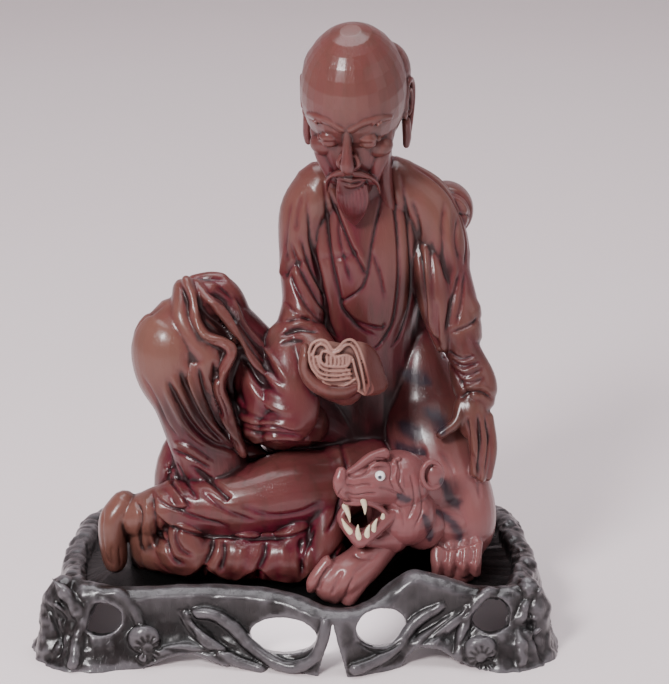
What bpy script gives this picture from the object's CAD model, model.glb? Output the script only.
# %% [markdown]
# # A sage with a scroll and a tiger, carved in rosewood on a root-wood stand
#
# The real thing is two pieces of wood. One block of red-brown hardwood holds the seated man, his robe,
# his scroll and the tiger beside him. It rests in a pierced, black-brown stand cut from a root. The eyes
# and the tiger's teeth are inlaid. Here the CAD model gives the masses and the places, and this lesson
# carves the same masses again with a finer chisel, then stains and polishes the wood.

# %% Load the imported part
import math

import bmesh
import bpy
import numpy as np
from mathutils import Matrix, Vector
from mathutils.bvhtree import BVHTree


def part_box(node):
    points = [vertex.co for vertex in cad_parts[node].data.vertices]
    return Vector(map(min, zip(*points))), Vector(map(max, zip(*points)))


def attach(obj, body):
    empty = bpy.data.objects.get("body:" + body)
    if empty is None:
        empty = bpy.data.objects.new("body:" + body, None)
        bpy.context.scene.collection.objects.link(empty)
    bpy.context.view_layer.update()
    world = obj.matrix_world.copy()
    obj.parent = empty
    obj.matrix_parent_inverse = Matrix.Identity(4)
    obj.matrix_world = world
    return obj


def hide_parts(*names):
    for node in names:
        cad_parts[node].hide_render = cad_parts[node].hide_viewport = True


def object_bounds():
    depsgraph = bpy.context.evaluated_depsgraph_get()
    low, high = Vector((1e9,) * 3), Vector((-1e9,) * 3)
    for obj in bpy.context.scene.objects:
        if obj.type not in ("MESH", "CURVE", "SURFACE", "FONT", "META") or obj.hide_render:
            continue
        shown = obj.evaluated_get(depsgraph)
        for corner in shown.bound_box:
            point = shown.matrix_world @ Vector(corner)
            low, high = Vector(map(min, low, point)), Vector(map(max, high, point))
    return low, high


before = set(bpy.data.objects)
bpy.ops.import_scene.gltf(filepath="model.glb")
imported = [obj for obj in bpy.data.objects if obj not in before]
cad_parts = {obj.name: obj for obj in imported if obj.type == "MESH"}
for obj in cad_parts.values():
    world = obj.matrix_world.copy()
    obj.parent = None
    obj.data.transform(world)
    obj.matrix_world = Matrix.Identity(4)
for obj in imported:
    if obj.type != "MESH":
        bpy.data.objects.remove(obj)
cad_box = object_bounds()
print("CAD box", [[round(float(v), 4) for v in corner] for corner in cad_box])

# %% [markdown]
# ## One front drawing
#
# A carver works from a front drawing pinned beside the block. The drawing is in millimetres: across from
# the stand's middle, up from the drawing's foot line, and back into the block. One option is to model
# straight in space, but then every fold has to be placed twice. So `seen` takes a drawn point into space,
# for a viewer a metre away and a little above, and `drawn` goes the other way.

# %% From the drawing into space
DRAWN_FLOOR = 27.0
VIEW_DISTANCE = 1000.0
VIEW_RISE = math.radians(18.0)
VIEW_ACROSS, VIEW_UP = 22.25, 169.0
SIGHT_HEIGHT = 143.0
STAND_MIDDLE = np.array([2.9, -3.86])
RECESS_FLOOR = 27.3                     # where the carving's foot rests, above the table
FRAME_OFFSET = np.array([*STAND_MIDDLE, DRAWN_FLOOR - RECESS_FLOOR])
MM = 1000.0                             # millimetres in a metre
RISE_COS, RISE_SIN = math.cos(VIEW_RISE), math.sin(VIEW_RISE)
SIGHT = np.array([0.0, RISE_COS, -RISE_SIN])
AIM = np.array([VIEW_ACROSS, 0.0, SIGHT_HEIGHT])
VIEWER = AIM - VIEW_DISTANCE * SIGHT


def seen(across, up, back):
    """The drawn point's place: its ray from the viewer, followed to the given depth behind the middle."""
    rise = (np.asarray(up, float) - VIEW_UP) / VIEW_DISTANCE
    y = np.asarray(back, float)
    z = SIGHT_HEIGHT + (rise * (VIEW_DISTANCE + y * RISE_COS) - y * RISE_SIN) / (RISE_COS + rise * RISE_SIN)
    reach = VIEW_DISTANCE + y * RISE_COS - (z - SIGHT_HEIGHT) * RISE_SIN
    x = VIEW_ACROSS + (np.asarray(across, float) - VIEW_ACROSS) * reach / VIEW_DISTANCE
    return np.stack(np.broadcast_arrays(x, y, z), -1)


def drawn(points):
    """The drawn place of points in space: their offset from the line of sight, shrunk by their distance."""
    off = points - AIM
    reach = VIEW_DISTANCE + off @ SIGHT
    up = off @ np.array([0.0, RISE_SIN, RISE_COS])
    return np.stack([VIEW_ACROSS + off[:, 0] * VIEW_DISTANCE / reach,
                     VIEW_UP + up * VIEW_DISTANCE / reach], -1)


def in_place(points):
    """Drawn space to the part's own frame, in metres, with the carving's foot on the recess's floor."""
    return (points - FRAME_OFFSET) / MM


def unit(vectors):
    """Each vector divided by its length."""
    return vectors / np.maximum(np.linalg.norm(vectors, axis=-1, keepdims=True), 1e-9)


def through(rows, per_span):
    """A smooth curve through rows of numbers: the Catmull-Rom cubic, per_span steps between two rows."""
    rows = np.asarray(rows, float)
    padded = np.vstack([2 * rows[0] - rows[1], rows, 2 * rows[-1] - rows[-2]])
    t = np.linspace(0, 1, per_span, endpoint=False)[:, None]
    spans = [0.5 * (2 * b + (c - a) * t + (2 * a - 5 * b + 4 * c - d) * t**2
                    + (3 * b - 3 * c + d - a) * t**3)
             for a, b, c, d in zip(padded, padded[1:], padded[2:], padded[3:])]
    return np.vstack(spans + [rows[-1:]])


print("the middle of the face is at", np.round(in_place(seen(32.0, 295.5, -12.0)), 4))

# %% [markdown]
# ## Clay
#
# Rounded masses can be built in many ways: metaballs, sculpting, subdivided boxes. A loft, which is an
# oval carried along a path, says in one row of numbers where a sleeve or a leg is and how thick it is.
# Many lofts are gathered as clay, and a voxel remesh then melts them into one skin.

# %% Lumps of clay
class Clay:
    """Closed lumps gathered in one mesh, ready to be melted into a single skin."""

    def __init__(self, sides=28):
        self.points, self.faces, self.count, self.sides = [], [], 0, sides
        self.cores = []

    def rings(self, rings):
        """A tube through rings of points, closed by a fan at each end."""
        n, sides = rings.shape[:2]
        self.points.append(np.vstack([rings.reshape(-1, 3), rings[0].mean(0), rings[-1].mean(0)]))
        i, j = np.meshgrid(np.arange(n - 1), np.arange(sides), indexing="ij")
        near, far, after = i * sides, (i + 1) * sides, (j + 1) % sides
        quads = np.stack([near + j, near + after, far + after, far + j], -1).reshape(-1, 4)
        k = np.arange(sides)
        first, last, top = n * sides, n * sides + 1, (n - 1) * sides
        start = np.stack([np.full(sides, first), (k + 1) % sides, k, k], -1)
        end = np.stack([np.full(sides, last), top + k, top + (k + 1) % sides, top + (k + 1) % sides], -1)
        self.faces.append(np.vstack([quads, start, end]) + self.count)
        self.count += n * sides + 2

    def loft(self, centres, wide, deep):
        """An oval of half width and half depth carried along a path; its ends are rounded off in steps."""
        heading = unit(np.gradient(centres, axis=0))
        across = unit(np.cross(heading, SIGHT))
        inward = np.cross(across, heading)
        blunt = 0.5 * (wide + deep)
        turns = np.radians([80.0, 55.0, 28.0])
        centres = np.vstack([centres[0] - heading[0] * blunt[0] * np.sin(turns)[:, None], centres,
                             centres[-1] + heading[-1] * blunt[-1] * np.sin(turns[::-1])[:, None]])
        across = np.vstack([across[:1]] * 3 + [across] + [across[-1:]] * 3)
        inward = np.vstack([inward[:1]] * 3 + [inward] + [inward[-1:]] * 3)
        wide = np.concatenate([wide[0] * np.cos(turns), wide, wide[-1] * np.cos(turns[::-1])])
        deep = np.concatenate([deep[0] * np.cos(turns), deep, deep[-1] * np.cos(turns[::-1])])
        angle = np.linspace(0, 2 * math.pi, self.sides, endpoint=False)
        self.cores += [(*centre, a + b)
                       for centre, a, b in zip(centres[3:-3:2], wide[3:-3:2], deep[3:-3:2])]
        self.rings(centres[:, None] + across[:, None] * (wide[:, None] * np.cos(angle))[..., None]
                   + inward[:, None] * (deep[:, None] * np.sin(angle))[..., None])

    def limb(self, rows):
        """A loft through drawn rows of across, up, back, half width and half depth."""
        rows = through(rows, 6)
        self.loft(seen(rows[:, 0], rows[:, 1], rows[:, 2]), rows[:, 3], rows[:, 4])

    def bar(self, rows):
        """A loft through rows of across, back, up, half width and half depth, in plain space."""
        rows = through(rows, 6)
        self.loft(rows[:, :3], rows[:, 3], rows[:, 4])

    def ball(self, centre, radii, axes=np.eye(3)):
        """An ellipsoid; the rows of axes are the directions of its three radii."""
        lift = np.linspace(-math.pi / 2, math.pi / 2, self.sides // 2 + 3)[1:-1]
        angle = np.linspace(0, 2 * math.pi, self.sides, endpoint=False)
        local = np.stack([radii[0] * np.cos(lift)[:, None] * np.cos(angle),
                          radii[1] * np.cos(lift)[:, None] * np.sin(angle),
                          radii[2] * np.sin(lift)[:, None] * np.ones(self.sides)], -1)
        self.rings(np.asarray(centre) + local @ np.asarray(axes))

    def add(self, points, faces):
        """One more closed lump, as points and four-cornered faces."""
        self.points.append(points)
        self.faces.append(faces + self.count)
        self.count += len(points)

    def gathered(self):
        """All the lumps as one array of points and one of four-cornered faces."""
        return np.vstack(self.points), np.vstack(self.faces)


# %% [markdown]
# ## Melting the clay, and keeping the outer skin
#
# The remesh turns overlapping lumps into one skin of small squares, as fine as the tool that will cut the
# folds. Hollows that are shut in leave skins of their own, so only the largest connected skin is kept.

# %% Mesh in, arrays out
def mesh_from(name, points, faces):
    """A mesh with the arrays written straight in. A face whose last two corners agree is a triangle."""
    mesh = bpy.data.meshes.new(name)
    corners = np.where((faces[:, 2] == faces[:, 3])[:, None] & (np.arange(4) == 3), -1, faces).reshape(-1)
    sizes = (faces[:, 2] != faces[:, 3]) + 3
    corners = corners[corners >= 0].astype(np.int32)
    mesh.vertices.add(len(points))
    mesh.vertices.foreach_set("co", points.astype(np.float32).reshape(-1))
    mesh.loops.add(len(corners))
    mesh.loops.foreach_set("vertex_index", corners)
    mesh.polygons.add(len(faces))
    mesh.polygons.foreach_set("loop_start", np.concatenate([[0], np.cumsum(sizes)[:-1]]).astype(np.int32))
    mesh.update(calc_edges=True)
    mesh.validate()
    return mesh


def shown(name, mesh):
    """The mesh as an object at the origin of the scene."""
    made = bpy.data.objects.new(name, mesh)
    bpy.context.scene.collection.objects.link(made)
    return made


def read_points(mesh):
    """The mesh's corner positions as an array of rows."""
    points = np.empty(len(mesh.vertices) * 3, np.float32)
    mesh.vertices.foreach_get("co", points)
    return points.reshape(-1, 3).astype(float)


def read_faces(mesh, corners):
    """The mesh's faces as rows of corner numbers; they all have the same number of corners."""
    faces = np.empty(len(mesh.polygons) * corners, np.int32)
    mesh.polygons.foreach_get("vertices", faces)
    return faces.reshape(-1, corners)


def keep_number(mesh, name, values):
    """Stores one number on every corner of the mesh."""
    attribute = mesh.attributes.new(name, "FLOAT", "POINT")
    attribute.data.foreach_set("value", values.astype(np.float32))


def outward_facing(thing):
    """Turns every face of each closed lump outwards."""
    work = bmesh.new()
    work.from_mesh(thing.data)
    bmesh.ops.recalc_face_normals(work, faces=work.faces)
    work.to_mesh(thing.data)
    work.free()


def largest(points, faces):
    """The biggest connected skin: each corner takes its neighbours' lowest number until nothing changes."""
    label = np.arange(len(points))
    ends = np.concatenate([faces[:, [0, 1]], faces[:, [1, 2]], faces[:, [2, 3]]])
    while True:
        low = np.minimum(label[ends[:, 0]], label[ends[:, 1]])
        fresh = label.copy()
        np.minimum.at(fresh, ends[:, 0], low)
        np.minimum.at(fresh, ends[:, 1], low)
        fresh = fresh[fresh]
        if (fresh == label).all():
            break
        label = fresh
    keep = label == np.bincount(label).argmax()
    renumber = np.cumsum(keep) - 1
    return points[keep], renumber[faces[keep[faces[:, 0]]]]


def melted(clay, voxel, smoothing):
    """The clay's lumps remeshed on a grid of the given voxel, in millimetres, and smoothed a few times."""
    thing = shown("lumps", mesh_from("lumps", *clay.gathered()))
    melt = thing.modifiers.new("melt", "REMESH")
    melt.mode = "VOXEL"
    melt.voxel_size = voxel
    soften = thing.modifiers.new("soften", "SMOOTH")
    soften.factor = 0.5
    soften.iterations = smoothing
    skin = thing.evaluated_get(bpy.context.evaluated_depsgraph_get()).data
    points, faces = read_points(skin), read_faces(skin, 4)
    bpy.data.objects.remove(thing)
    return largest(points, faces)


VOXEL = 0.65      # millimetres
FINE_VOXEL = 0.4
print("voxel", VOXEL, "mm, and", FINE_VOXEL, "mm on the heads")

# %% [markdown]
# ## The chisel
#
# A fold line is drawn once, on the front drawing. It is cast onto the block along the viewer's rays, and
# the skin near it is pushed in for a valley or out for a ridge. A displacement texture could do this too,
# but then nobody could say where one fold ends. A line with a side lifts like the edge of a cloth.

# %% Carving along drawn lines
def normals_of(points, faces):
    """Each corner's outward direction: the cross products of its squares' diagonals, added up."""
    facing = np.cross(points[faces[:, 2]] - points[faces[:, 0]], points[faces[:, 3]] - points[faces[:, 1]])
    total = np.zeros_like(points)
    for corner in range(4):
        np.add.at(total, faces[:, corner], facing)
    return unit(total)


def from_front(line):
    """Rays from the viewer through a drawn line."""
    aim = unit(seen(line[:, 0], line[:, 1], 0) - VIEWER)
    return np.broadcast_to(VIEWER, aim.shape), aim


def from_behind(line):
    """Rays from far behind, for a line drawn as the back shows it."""
    start = np.column_stack([-line[:, 0], np.full(len(line), 300.0), line[:, 1]])
    return start, np.broadcast_to((0.0, -1.0, 0.0), start.shape)


def from_left(line):
    """Rays from far out at the viewer's left, for a line drawn as that side shows it."""
    start = np.column_stack([np.full(len(line), -300.0), -line[:, 0], line[:, 1]])
    return start, np.broadcast_to((1.0, 0.0, 0.0), start.shape)


def from_right(line):
    """Rays from far out at the viewer's right, for a line drawn as that side shows it."""
    start = np.column_stack([np.full(len(line), 300.0), line[:, 0], line[:, 1]])
    return start, np.broadcast_to((-1.0, 0.0, 0.0), start.shape)


FLAT = {from_front: drawn, from_behind: lambda points: points[:, [0, 2]] * (-1, 1),
        from_left: lambda points: points[:, [1, 2]] * (-1, 1), from_right: lambda points: points[:, [1, 2]]}


def cast(tree, line, rays):
    """A drawn line laid on the skin: the places met, their share of the way, and their drawn places."""
    line = through(line, 8)
    hits = [tree.ray_cast(Vector(start), Vector(aim))[0] for start, aim in zip(*rays(line))]
    found = np.array([hit is not None for hit in hits])
    share = np.linspace(0, 1, len(line))[found]
    return np.array([hit for hit in hits if hit is not None]), share, line[found]


def to_line(points, spots):
    """Each point's distance to a line through spots: the foot of its perpendicular on the two spans beside
    the nearest spot, t = (p - a).(b - a) / |b - a|^2 kept in 0..1. Also how far along the foot is."""
    index = ((points[:, None] - spots[None])**2).sum(2).argmin(1)
    best, along = np.full(len(points), np.inf), np.zeros(len(points))
    for first in (index - 1, index):
        start = np.clip(first, 0, len(spots) - 2)
        a, way = spots[start], spots[start + 1] - spots[start]
        t = np.clip(((points - a) * way).sum(1) / np.maximum((way**2).sum(1), 1e-9), 0, 1)
        gap = np.linalg.norm(points - a - way * t[:, None], axis=1)
        closer = gap < best
        best, along = np.where(closer, gap, best), np.where(closer, start + t, along)
    return best, along


def carve(points, faces, strokes, rays=from_front):
    """Moves the skin along its normal by height x exp(-(distance / half width) squared) of each line,
    fading at the line's ends. With a side, that side rises three times as wide and the other dips."""
    tree = BVHTree.FromPolygons(points.tolist(), faces.tolist())
    normals = normals_of(points, faces)
    flat = FLAT[rays](points)
    shift = np.zeros(len(points))
    for height, half, side, line in strokes:
        spots, share, flat_spots = cast(tree, line, rays)
        if len(spots) < 3:
            continue
        reach = half * (6 if side else 2.5)
        near = ((points > spots.min(0) - reach) & (points < spots.max(0) + reach)).all(1).nonzero()[0]
        away, along = to_line(points[near], spots)
        share = np.interp(along, np.arange(len(share)), share)
        fade = np.clip(np.minimum(share, 1 - share) * 6, 0, 1)
        if side:
            heading = np.gradient(flat_spots, axis=0)
            heading, foot = (np.stack([np.interp(along, np.arange(len(spots)), k) for k in each.T], -1)
                             for each in (heading, flat_spots))
            off = flat[near] - foot
            turn = (side * (heading[:, 0] * off[:, 1] - heading[:, 1] * off[:, 0])
                    / np.linalg.norm(heading, axis=1))
            lift = np.where(turn > 0, np.exp(-(away / (3 * half))**2), -0.6 * np.exp(-(away / half)**2))
            shape = lift * np.clip(np.abs(turn) / (0.6 * half), 0, 1)
        else:
            shape = np.exp(-(away / half)**2)
        shift[near] += height * shape * fade
    return points + normals * shift[:, None]


# %% [markdown]
# ## The head
#
# The head gets axes of its own, side, front and up, bowed and turned a little towards the scroll. The
# face is a carver's standard one: the eyes are halfway between crown and chin, and the brow, the foot of
# the nose and the chin are a third of the face apart. Lids, ears, moustache and beard are thin lofts, so
# the head is melted on a finer grid than the robe, as its own piece. Its neck runs down into the collar.

# %% Head axes
HEAD_TILT, HEAD_TURN = math.radians(22.0), math.radians(9.0)
HEAD_CENTRE = seen(32.0, 295.5, -12.0)
HEAD = np.array([
    [math.cos(HEAD_TURN), -math.sin(HEAD_TURN), 0.0],
    [-math.sin(HEAD_TURN) * math.cos(HEAD_TILT), -math.cos(HEAD_TURN) * math.cos(HEAD_TILT),
     -math.sin(HEAD_TILT)],
    [-math.sin(HEAD_TURN) * math.sin(HEAD_TILT), -math.cos(HEAD_TURN) * math.sin(HEAD_TILT),
     math.cos(HEAD_TILT)],
])


def on_head(points):
    """Side, front and up from the skull's middle, in space: the middle plus each times its axis."""
    return HEAD_CENTRE + np.asarray(points, float) @ HEAD


def head_limb(clay, rows):
    """A loft through rows of side, front, up, half width and half depth on the head."""
    rows = through(rows, 6)
    clay.loft(on_head(rows[:, :3]), rows[:, 3], rows[:, 4])


def middle_of(node):
    """The middle of a CAD node's box, in drawn space."""
    low, high = (np.array(corner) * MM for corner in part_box(node))
    return (low + high) / 2 + FRAME_OFFSET


# %% Skull, brow and cheeks
EYES = {side: (middle_of(name) - HEAD_CENTRE) @ HEAD.T
        for side, name in ((-1, "man_eye_right"), (1, "man_eye_left"))}


def model_skull(clay):
    """Ellipsoids for the crown, temples and cheeks, and a loft down through the jaw into the neck."""
    clay.ball(HEAD_CENTRE, (25.5, 28.9, 32.75), HEAD)
    for side in (-1, 1):
        clay.ball(on_head([side * 13.5, -11, 3]), (12.5, 15, 15), HEAD)
        head_limb(clay,
                  [(side * 18, 17, -4, 2, 3), (side * 14, 22, -1.5, 2.3, 3), (side * 8, 25.3, -1.2, 2.4, 3),
                         (side * 2.5, 26.8, -4.5, 2, 3)])
        clay.ball(on_head([side * 13, 16.5, -20]), (7, 6, 6), HEAD)
        head_limb(clay, [(side * 17, 14, -14, 3, 3), (side * 14, 17, -26, 4, 4), (side * 9, 18, -38, 4, 4)])
        head_limb(clay, [(side * 12, 2, -30, 4, 8), (side * 13, 4, -50, 4, 8), (side * 14, 2, -66, 5, 9)])
    head_limb(clay, [(0, 2, 2, 23, 24), (0, 6, -14, 21, 19), (0, 8, -28, 17.5, 16.5), (0, 9, -40, 12.5, 13),
                     (0, 11, -47, 8, 8)])
    head_limb(clay, [(0, -4, -20, 17, 17), (0, -4, -40, 16, 16), (0, -2, -62, 16, 15), (0, 0, -78, 16, 14)])


def model_eyes(clay):
    """Lids: thin lofts along arcs of a sphere a little larger than the inlaid eye, above and below it."""
    turn = np.radians(np.linspace(-78, 78, 9))
    for side, middle in EYES.items():
        for rise, droop, reach, thick in ((16, 8, 2.7, 0.8), (34, 6, 2.9, 1.2), (56, 2, 3.0, 1.5),
                                          (-20, -4, 2.7, 0.75), (-40, -2, 2.9, 1.1), (-62, 0, 2.9, 1.5)):
            lift = np.radians(rise - droop * np.abs(np.sin(turn)) * np.sign(rise))
            arc = np.stack([np.sin(turn) * np.cos(lift), np.cos(turn) * np.cos(lift), np.sin(lift)], -1)
            spread = np.array([1.45, 1.0, 1.0])
            rows = middle + arc * reach * spread
            clay.loft(on_head(rows), np.full(len(rows), thick), np.full(len(rows), thick))
        inner = middle + np.array([-side * 4.6, 0.2, -0.6])
        outer = middle + np.array([side * 4.9, -1.6, -0.4])
        clay.ball(on_head(inner), (1.2, 1.4, 1.3), HEAD)
        clay.ball(on_head(outer), (1.3, 1.4, 1.5), HEAD)


def model_nose_and_mouth(clay):
    """A straight nose with rounded wings, two lips, and the folds beside them."""
    head_limb(clay,
              [(0, 25.2, -5, 2.0, 3), (0, 27.5, -11, 2.1, 3), (0, 30.2, -18, 2.6, 3.6),
               (0, 32, -22.5, 3.3, 3.6),
                     (0, 30.5, -25.5, 2.8, 3)])
    for side in (-1, 1):
        head_limb(clay, [(side * 3, 27, -19.5, 1.2, 1.6), (side * 4.5, 27.6, -22.8, 1.5, 2.2),
                         (side * 3.8, 28, -25.2, 1.4, 2), (side * 1.4, 29, -26.3, 1.0, 1.2)])
        head_limb(clay, [(0, 25.9, -34.6, 1.3, 1.4), (side * 3.4, 25.2, -34.2, 1.2, 1.4),
                         (side * 6.8, 23.2, -35.4, 0.7, 1.0)])
        head_limb(clay, [(0, 25.2, -38.0, 1.5, 1.6), (side * 3.2, 24.4, -37.8, 1.3, 1.5),
                         (side * 6.4, 22.6, -36.2, 0.7, 1.0)])
    head_limb(clay, [(0, 23, -30, 5, 3), (0, 22.6, -36, 7, 3), (0, 21, -43, 7.5, 4.5)])
    clay.ball(on_head([0, 20.5, -46]), (6.5, 5.5, 5), HEAD)


def model_ears(clay):
    """Long-lobed ears: a rim carried round each, a smaller inner rim, and a thin plate behind them."""
    rim = [(2, -9), (1.5, -3), (-3, 1.5), (-8.5, 1), (-11.5, -4), (-11, -11), (-7.5, -18), (-3.5, -24),
           (-0.5, -28)]
    fold = [(-1, -6), (-4, -3), (-7.5, -4), (-8.5, -9), (-6, -14), (-3, -15)]
    for side in (-1, 1):
        for line, out, thick in ((rim, 24.5, 1.5), (fold, 24.8, 0.9)):
            rows = through([(side * (out + 0.16 * max(0, -front)), front, up) for front, up in line], 5)
            clay.loft(on_head(rows), np.full(len(rows), thick), np.full(len(rows), thick))
        clay.ball(on_head([side * 23.5, -4.5, -8]), (1.8, 6.5, 9.5), HEAD)
        head_limb(clay, [(side * 24, -2, -19, 2.2, 3.6), (side * 24.3, -0.5, -26, 2.2, 3.2),
                         (side * 24, 0.5, -30, 1.8, 2.4)])
        clay.ball(on_head([side * 24.2, 2, -12]), (1.3, 1.8, 2.8), HEAD)


def model_beard(clay):
    """Moustache and goatee as locks: tapering lofts that start together and end in points."""
    for side in (-1, 1):
        for lock in range(4):
            head_limb(clay, [(side * (0.9 + 0.5 * lock), 27.6 - 0.2 * lock, -28.6 - 0.7 * lock, 0.9, 1.2),
                             (side * (5.5 + lock), 26 - 0.3 * lock, -30 - 0.9 * lock, 1.0, 1.2),
                             (side * (10 + 0.7 * lock), 22.4 - 0.2 * lock, -35 - 1.2 * lock, 0.85, 1.0),
                             (side * (11.8 + 0.4 * lock), 19.6, -41.5 - 1.6 * lock, 0.45, 0.5)])
    for lock in range(-4, 5):
        start = 1.6 * lock
        head_limb(clay, [(start, 24.2 - 0.1 * lock**2, -42 + 0.15 * lock**2, 1.1, 1.4),
                         (start * 1.05, 25.2 - 0.16 * lock**2, -48, 1.3, 1.6),
                         (start * 0.7, 24.4 - 0.1 * lock**2, -56, 1.1, 1.4),
                         (start * 0.2, 21.5, -64 + 0.25 * abs(lock), 0.5, 0.6)])
    head_limb(clay,
              [(0, 20, -42, 6, 5), (0, 20.5, -50, 5.5, 4.5), (0, 21, -57, 3.2, 3), (0, 20.5, -63, 1, 1.2)])


EYEBROWS = [(side * (4 + 2.2 * k), 27.5 - 0.35 * k, -2.6 + 0.55 * k - 0.13 * k * k)
            for side in (-1, 1) for k in range(6)]


def model_eyebrows(clay):
    """Short slanting tufts along each brow."""
    for side, front, up in EYEBROWS:
        out = np.sign(side)
        head_limb(clay,
                  [(side - out * 0.8, front - 1.2, up - 0.9, 0.5, 0.6),
                   (side, front - 0.75, up + 0.2, 0.6, 0.7),
                         (side + out * 1.4, front - 1.3, up + 0.9, 0.35, 0.4)])


def build_head():
    """The head's clay, melted."""
    clay = Clay()
    for model in (model_skull, model_eyes, model_nose_and_mouth, model_ears, model_beard, model_eyebrows):
        model(clay)
    points, faces = melted(clay, FINE_VOXEL, 2)
    print("head:", len(faces), "squares")
    return points, faces


head_points, head_faces = build_head()

# %% [markdown]
# ## The man and his robe
#
# Each row places one oval of a sleeve, a leg or a fold: across, up, back, half width, half depth. The
# masses are those of the CAD model, so the dressed carving and the plain one agree.

# %% Masses of the robe
TORSO = [(30, 112, 28, 40, 30), (31, 140, 26, 36, 27), (31, 175, 20, 33, 23), (34, 210, 14, 33, 21),
         (37, 235, 12, 28, 17), (36, 251, 10, 17, 13)]
NECK = [(36, 240, 16, 22, 18), (36, 252, 13, 18, 18), (34.5, 264, 8, 15, 16), (33, 278, 2, 14, 15)]
ROBE_BEHIND = [(54, 214, 24, 14, 12), (58, 180, 26, 14, 12), (60, 145, 26, 16, 14), (60, 112, 26, 20, 16)]
RIGHT_ARM = [(16, 245, 10, 15, 14), (7, 233, 10, 12.5, 14), (5, 210, 8, 10.5, 13), (6.5, 190, 2, 10.5, 13),
             (5, 176, -4, 12, 13)]
RIGHT_FOREARM = [(5, 174, -4, 12, 12), (12, 163, -16, 12, 11), (20, 152, -26, 11, 9), (28, 146, -30, 9, 8)]
RIGHT_SLEEVE = [(0, 170, -8, 12, 11), (0, 158, -16, 12, 11), (0, 146, -22, 14, 11), (0, 133, -26, 14, 10),
                (-6, 128, -27, 10, 9)]
LAP_CLOTH = [(-20, 158, -8, 6, 10), (-16, 149, -13, 9, 12), (-12, 139, -17, 11, 13),
             (-14, 130, -17, 10, 13)]
UNDER_SLEEVE = [(-22, 136, -5, 13, 18), (-8, 131, -8, 15, 20), (4, 129, -9, 13, 18)]
RIGHT_THIGH = [(20, 122, 18, 22, 24), (2, 134, 8, 22, 24), (-13, 148, 4, 22, 22), (-26, 164, 2, 20, 20),
               (-38, 178, -1, 18, 18), (-45, 186, -4, 15, 16)]
RIGHT_SHIN = [(-55, 175, -8, 17, 18), (-58.5, 168, -10, 20.5, 20), (-57.5, 156, -12, 20, 19),
              (-51, 142, -13, 18, 17),
              (-44, 124, -14, 18, 16), (-38, 106, -15, 18, 16)]
FOLD_BEHIND = [(-47, 198, 2, 4, 6), (-38, 199, 4, 5, 8), (-29, 193, 4, 5, 9), (-22, 178, 3, 5, 9),
               (-12, 163, 2, 5, 8), (-3, 149, -2, 4, 7), (3, 144, -8, 2, 4)]
FOLD_MIDDLE = [(-46, 197, -6, 3, 6), (-39, 189, -12, 3, 7), (-30, 178, -15, 3, 8), (-22, 166, -16, 3.5, 8),
               (-12, 154, -16, 3, 8), (-2, 146, -18, 2, 5)]
FOLD_FRONT = [(-51, 198, -10, 3, 6), (-48, 190, -14, 3, 7), (-47, 180, -19, 3, 7), (-42, 172, -22, 3, 8),
              (-33, 168, -23, 3.2, 8), (-29.5, 164, -24, 3.2, 8), (-33, 155, -24, 3, 8),
              (-35, 146, -24.5, 3, 8),
              (-32, 137, -25, 3, 8), (-29, 127, -25, 3, 8), (-24, 115, -26, 2.5, 6)]
FLAP = [(-54, 192, -4, 5, 12), (-53, 180, -10, 8, 15), (-47, 170, -13, 10.5, 16), (-41, 163, -14, 12, 17),
        (-44.5, 155, -14, 11.5, 17), (-45.5, 146, -14, 11, 17), (-42.5, 137, -14, 11, 17),
        (-39, 127, -14, 10.5, 16),
        (-34, 115, -14, 10, 14)]
LEFT_THIGH = [(40, 112, 18, 15, 18), (34, 104, 2, 18, 22), (20, 98, -12, 20, 22)]
LEFT_SHIN = [(16, 96, -16, 20, 20), (0, 95, -20, 20, 21), (-22, 90, -25, 17, 19), (-45, 88, -26, 14, 16),
             (-62, 87, -25, 11.5, 14), (-74, 82, -24, 11, 12)]
FOOT = [(-84, 87, -22, 7, 10), (-88, 80, -24, 7.5, 11), (-88.5, 70, -24, 7, 11), (-87.5, 62, -23, 6.5, 10)]
SKIRT = [(-66, 64, -6, 14, 16), (-50, 60, -6, 18, 20), (-20, 58, -2, 20, 25), (10, 56, 0, 22, 27),
         (26, 56, 2, 20, 24)]
HEM_SHEET = [(-64, 65, -22, 12, 13), (-46, 64, -28, 13, 14), (-20, 63, -31, 13, 14), (4, 62, -32, 13, 14),
             (16, 64, -31, 12, 12)]
HEM_LOBES = [
    [(-50, 90, -29, 6, 7), (-52, 76, -31, 10, 11), (-52, 66, -32, 15, 12.5)],
    [(-74, 86, -22, 7, 9), (-72, 76, -22, 9, 11), (-70, 66, -18, 10, 11)],
    [(-16, 90, -28, 4, 6), (-21, 75, -31, 8, 8), (-25, 61, -33.5, 12, 10)],
    [(8, 88, -28, 4, 6), (2, 74, -32, 8.5, 8.5), (-2, 60, -35.5, 12.5, 10.5)],
    [(18, 84, -28, 9, 10), (18, 70, -34, 9, 10), (15, 60, -36, 9, 9)],
]
LEFT_ARM = [(52, 248, 12, 14, 14), (66, 238, 14, 14.5, 15), (74, 222, 14, 14, 15), (77, 205, 12, 13, 14),
            (80, 188, 8, 14, 14), (84, 174, 4, 12.5, 13)]
SLEEVE_CORNER = [(84, 192, 6, 8, 9), (87, 184, 5, 9, 10)]
LEFT_FOREARM = [(83, 176, 4, 12, 13), (86, 166, 0, 9, 11), (91, 152, -6, 11, 10), (93, 145, -8, 11, 9),
                (93.5, 141, -9, 9.5, 8)]
LEFT_SLEEVE = [(66, 222, 14, 6, 8), (68, 213, 9, 8, 11), (71, 200, 4, 9, 12), (73, 185, 1, 8, 11),
               (76, 168, -4, 4, 6)]
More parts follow.
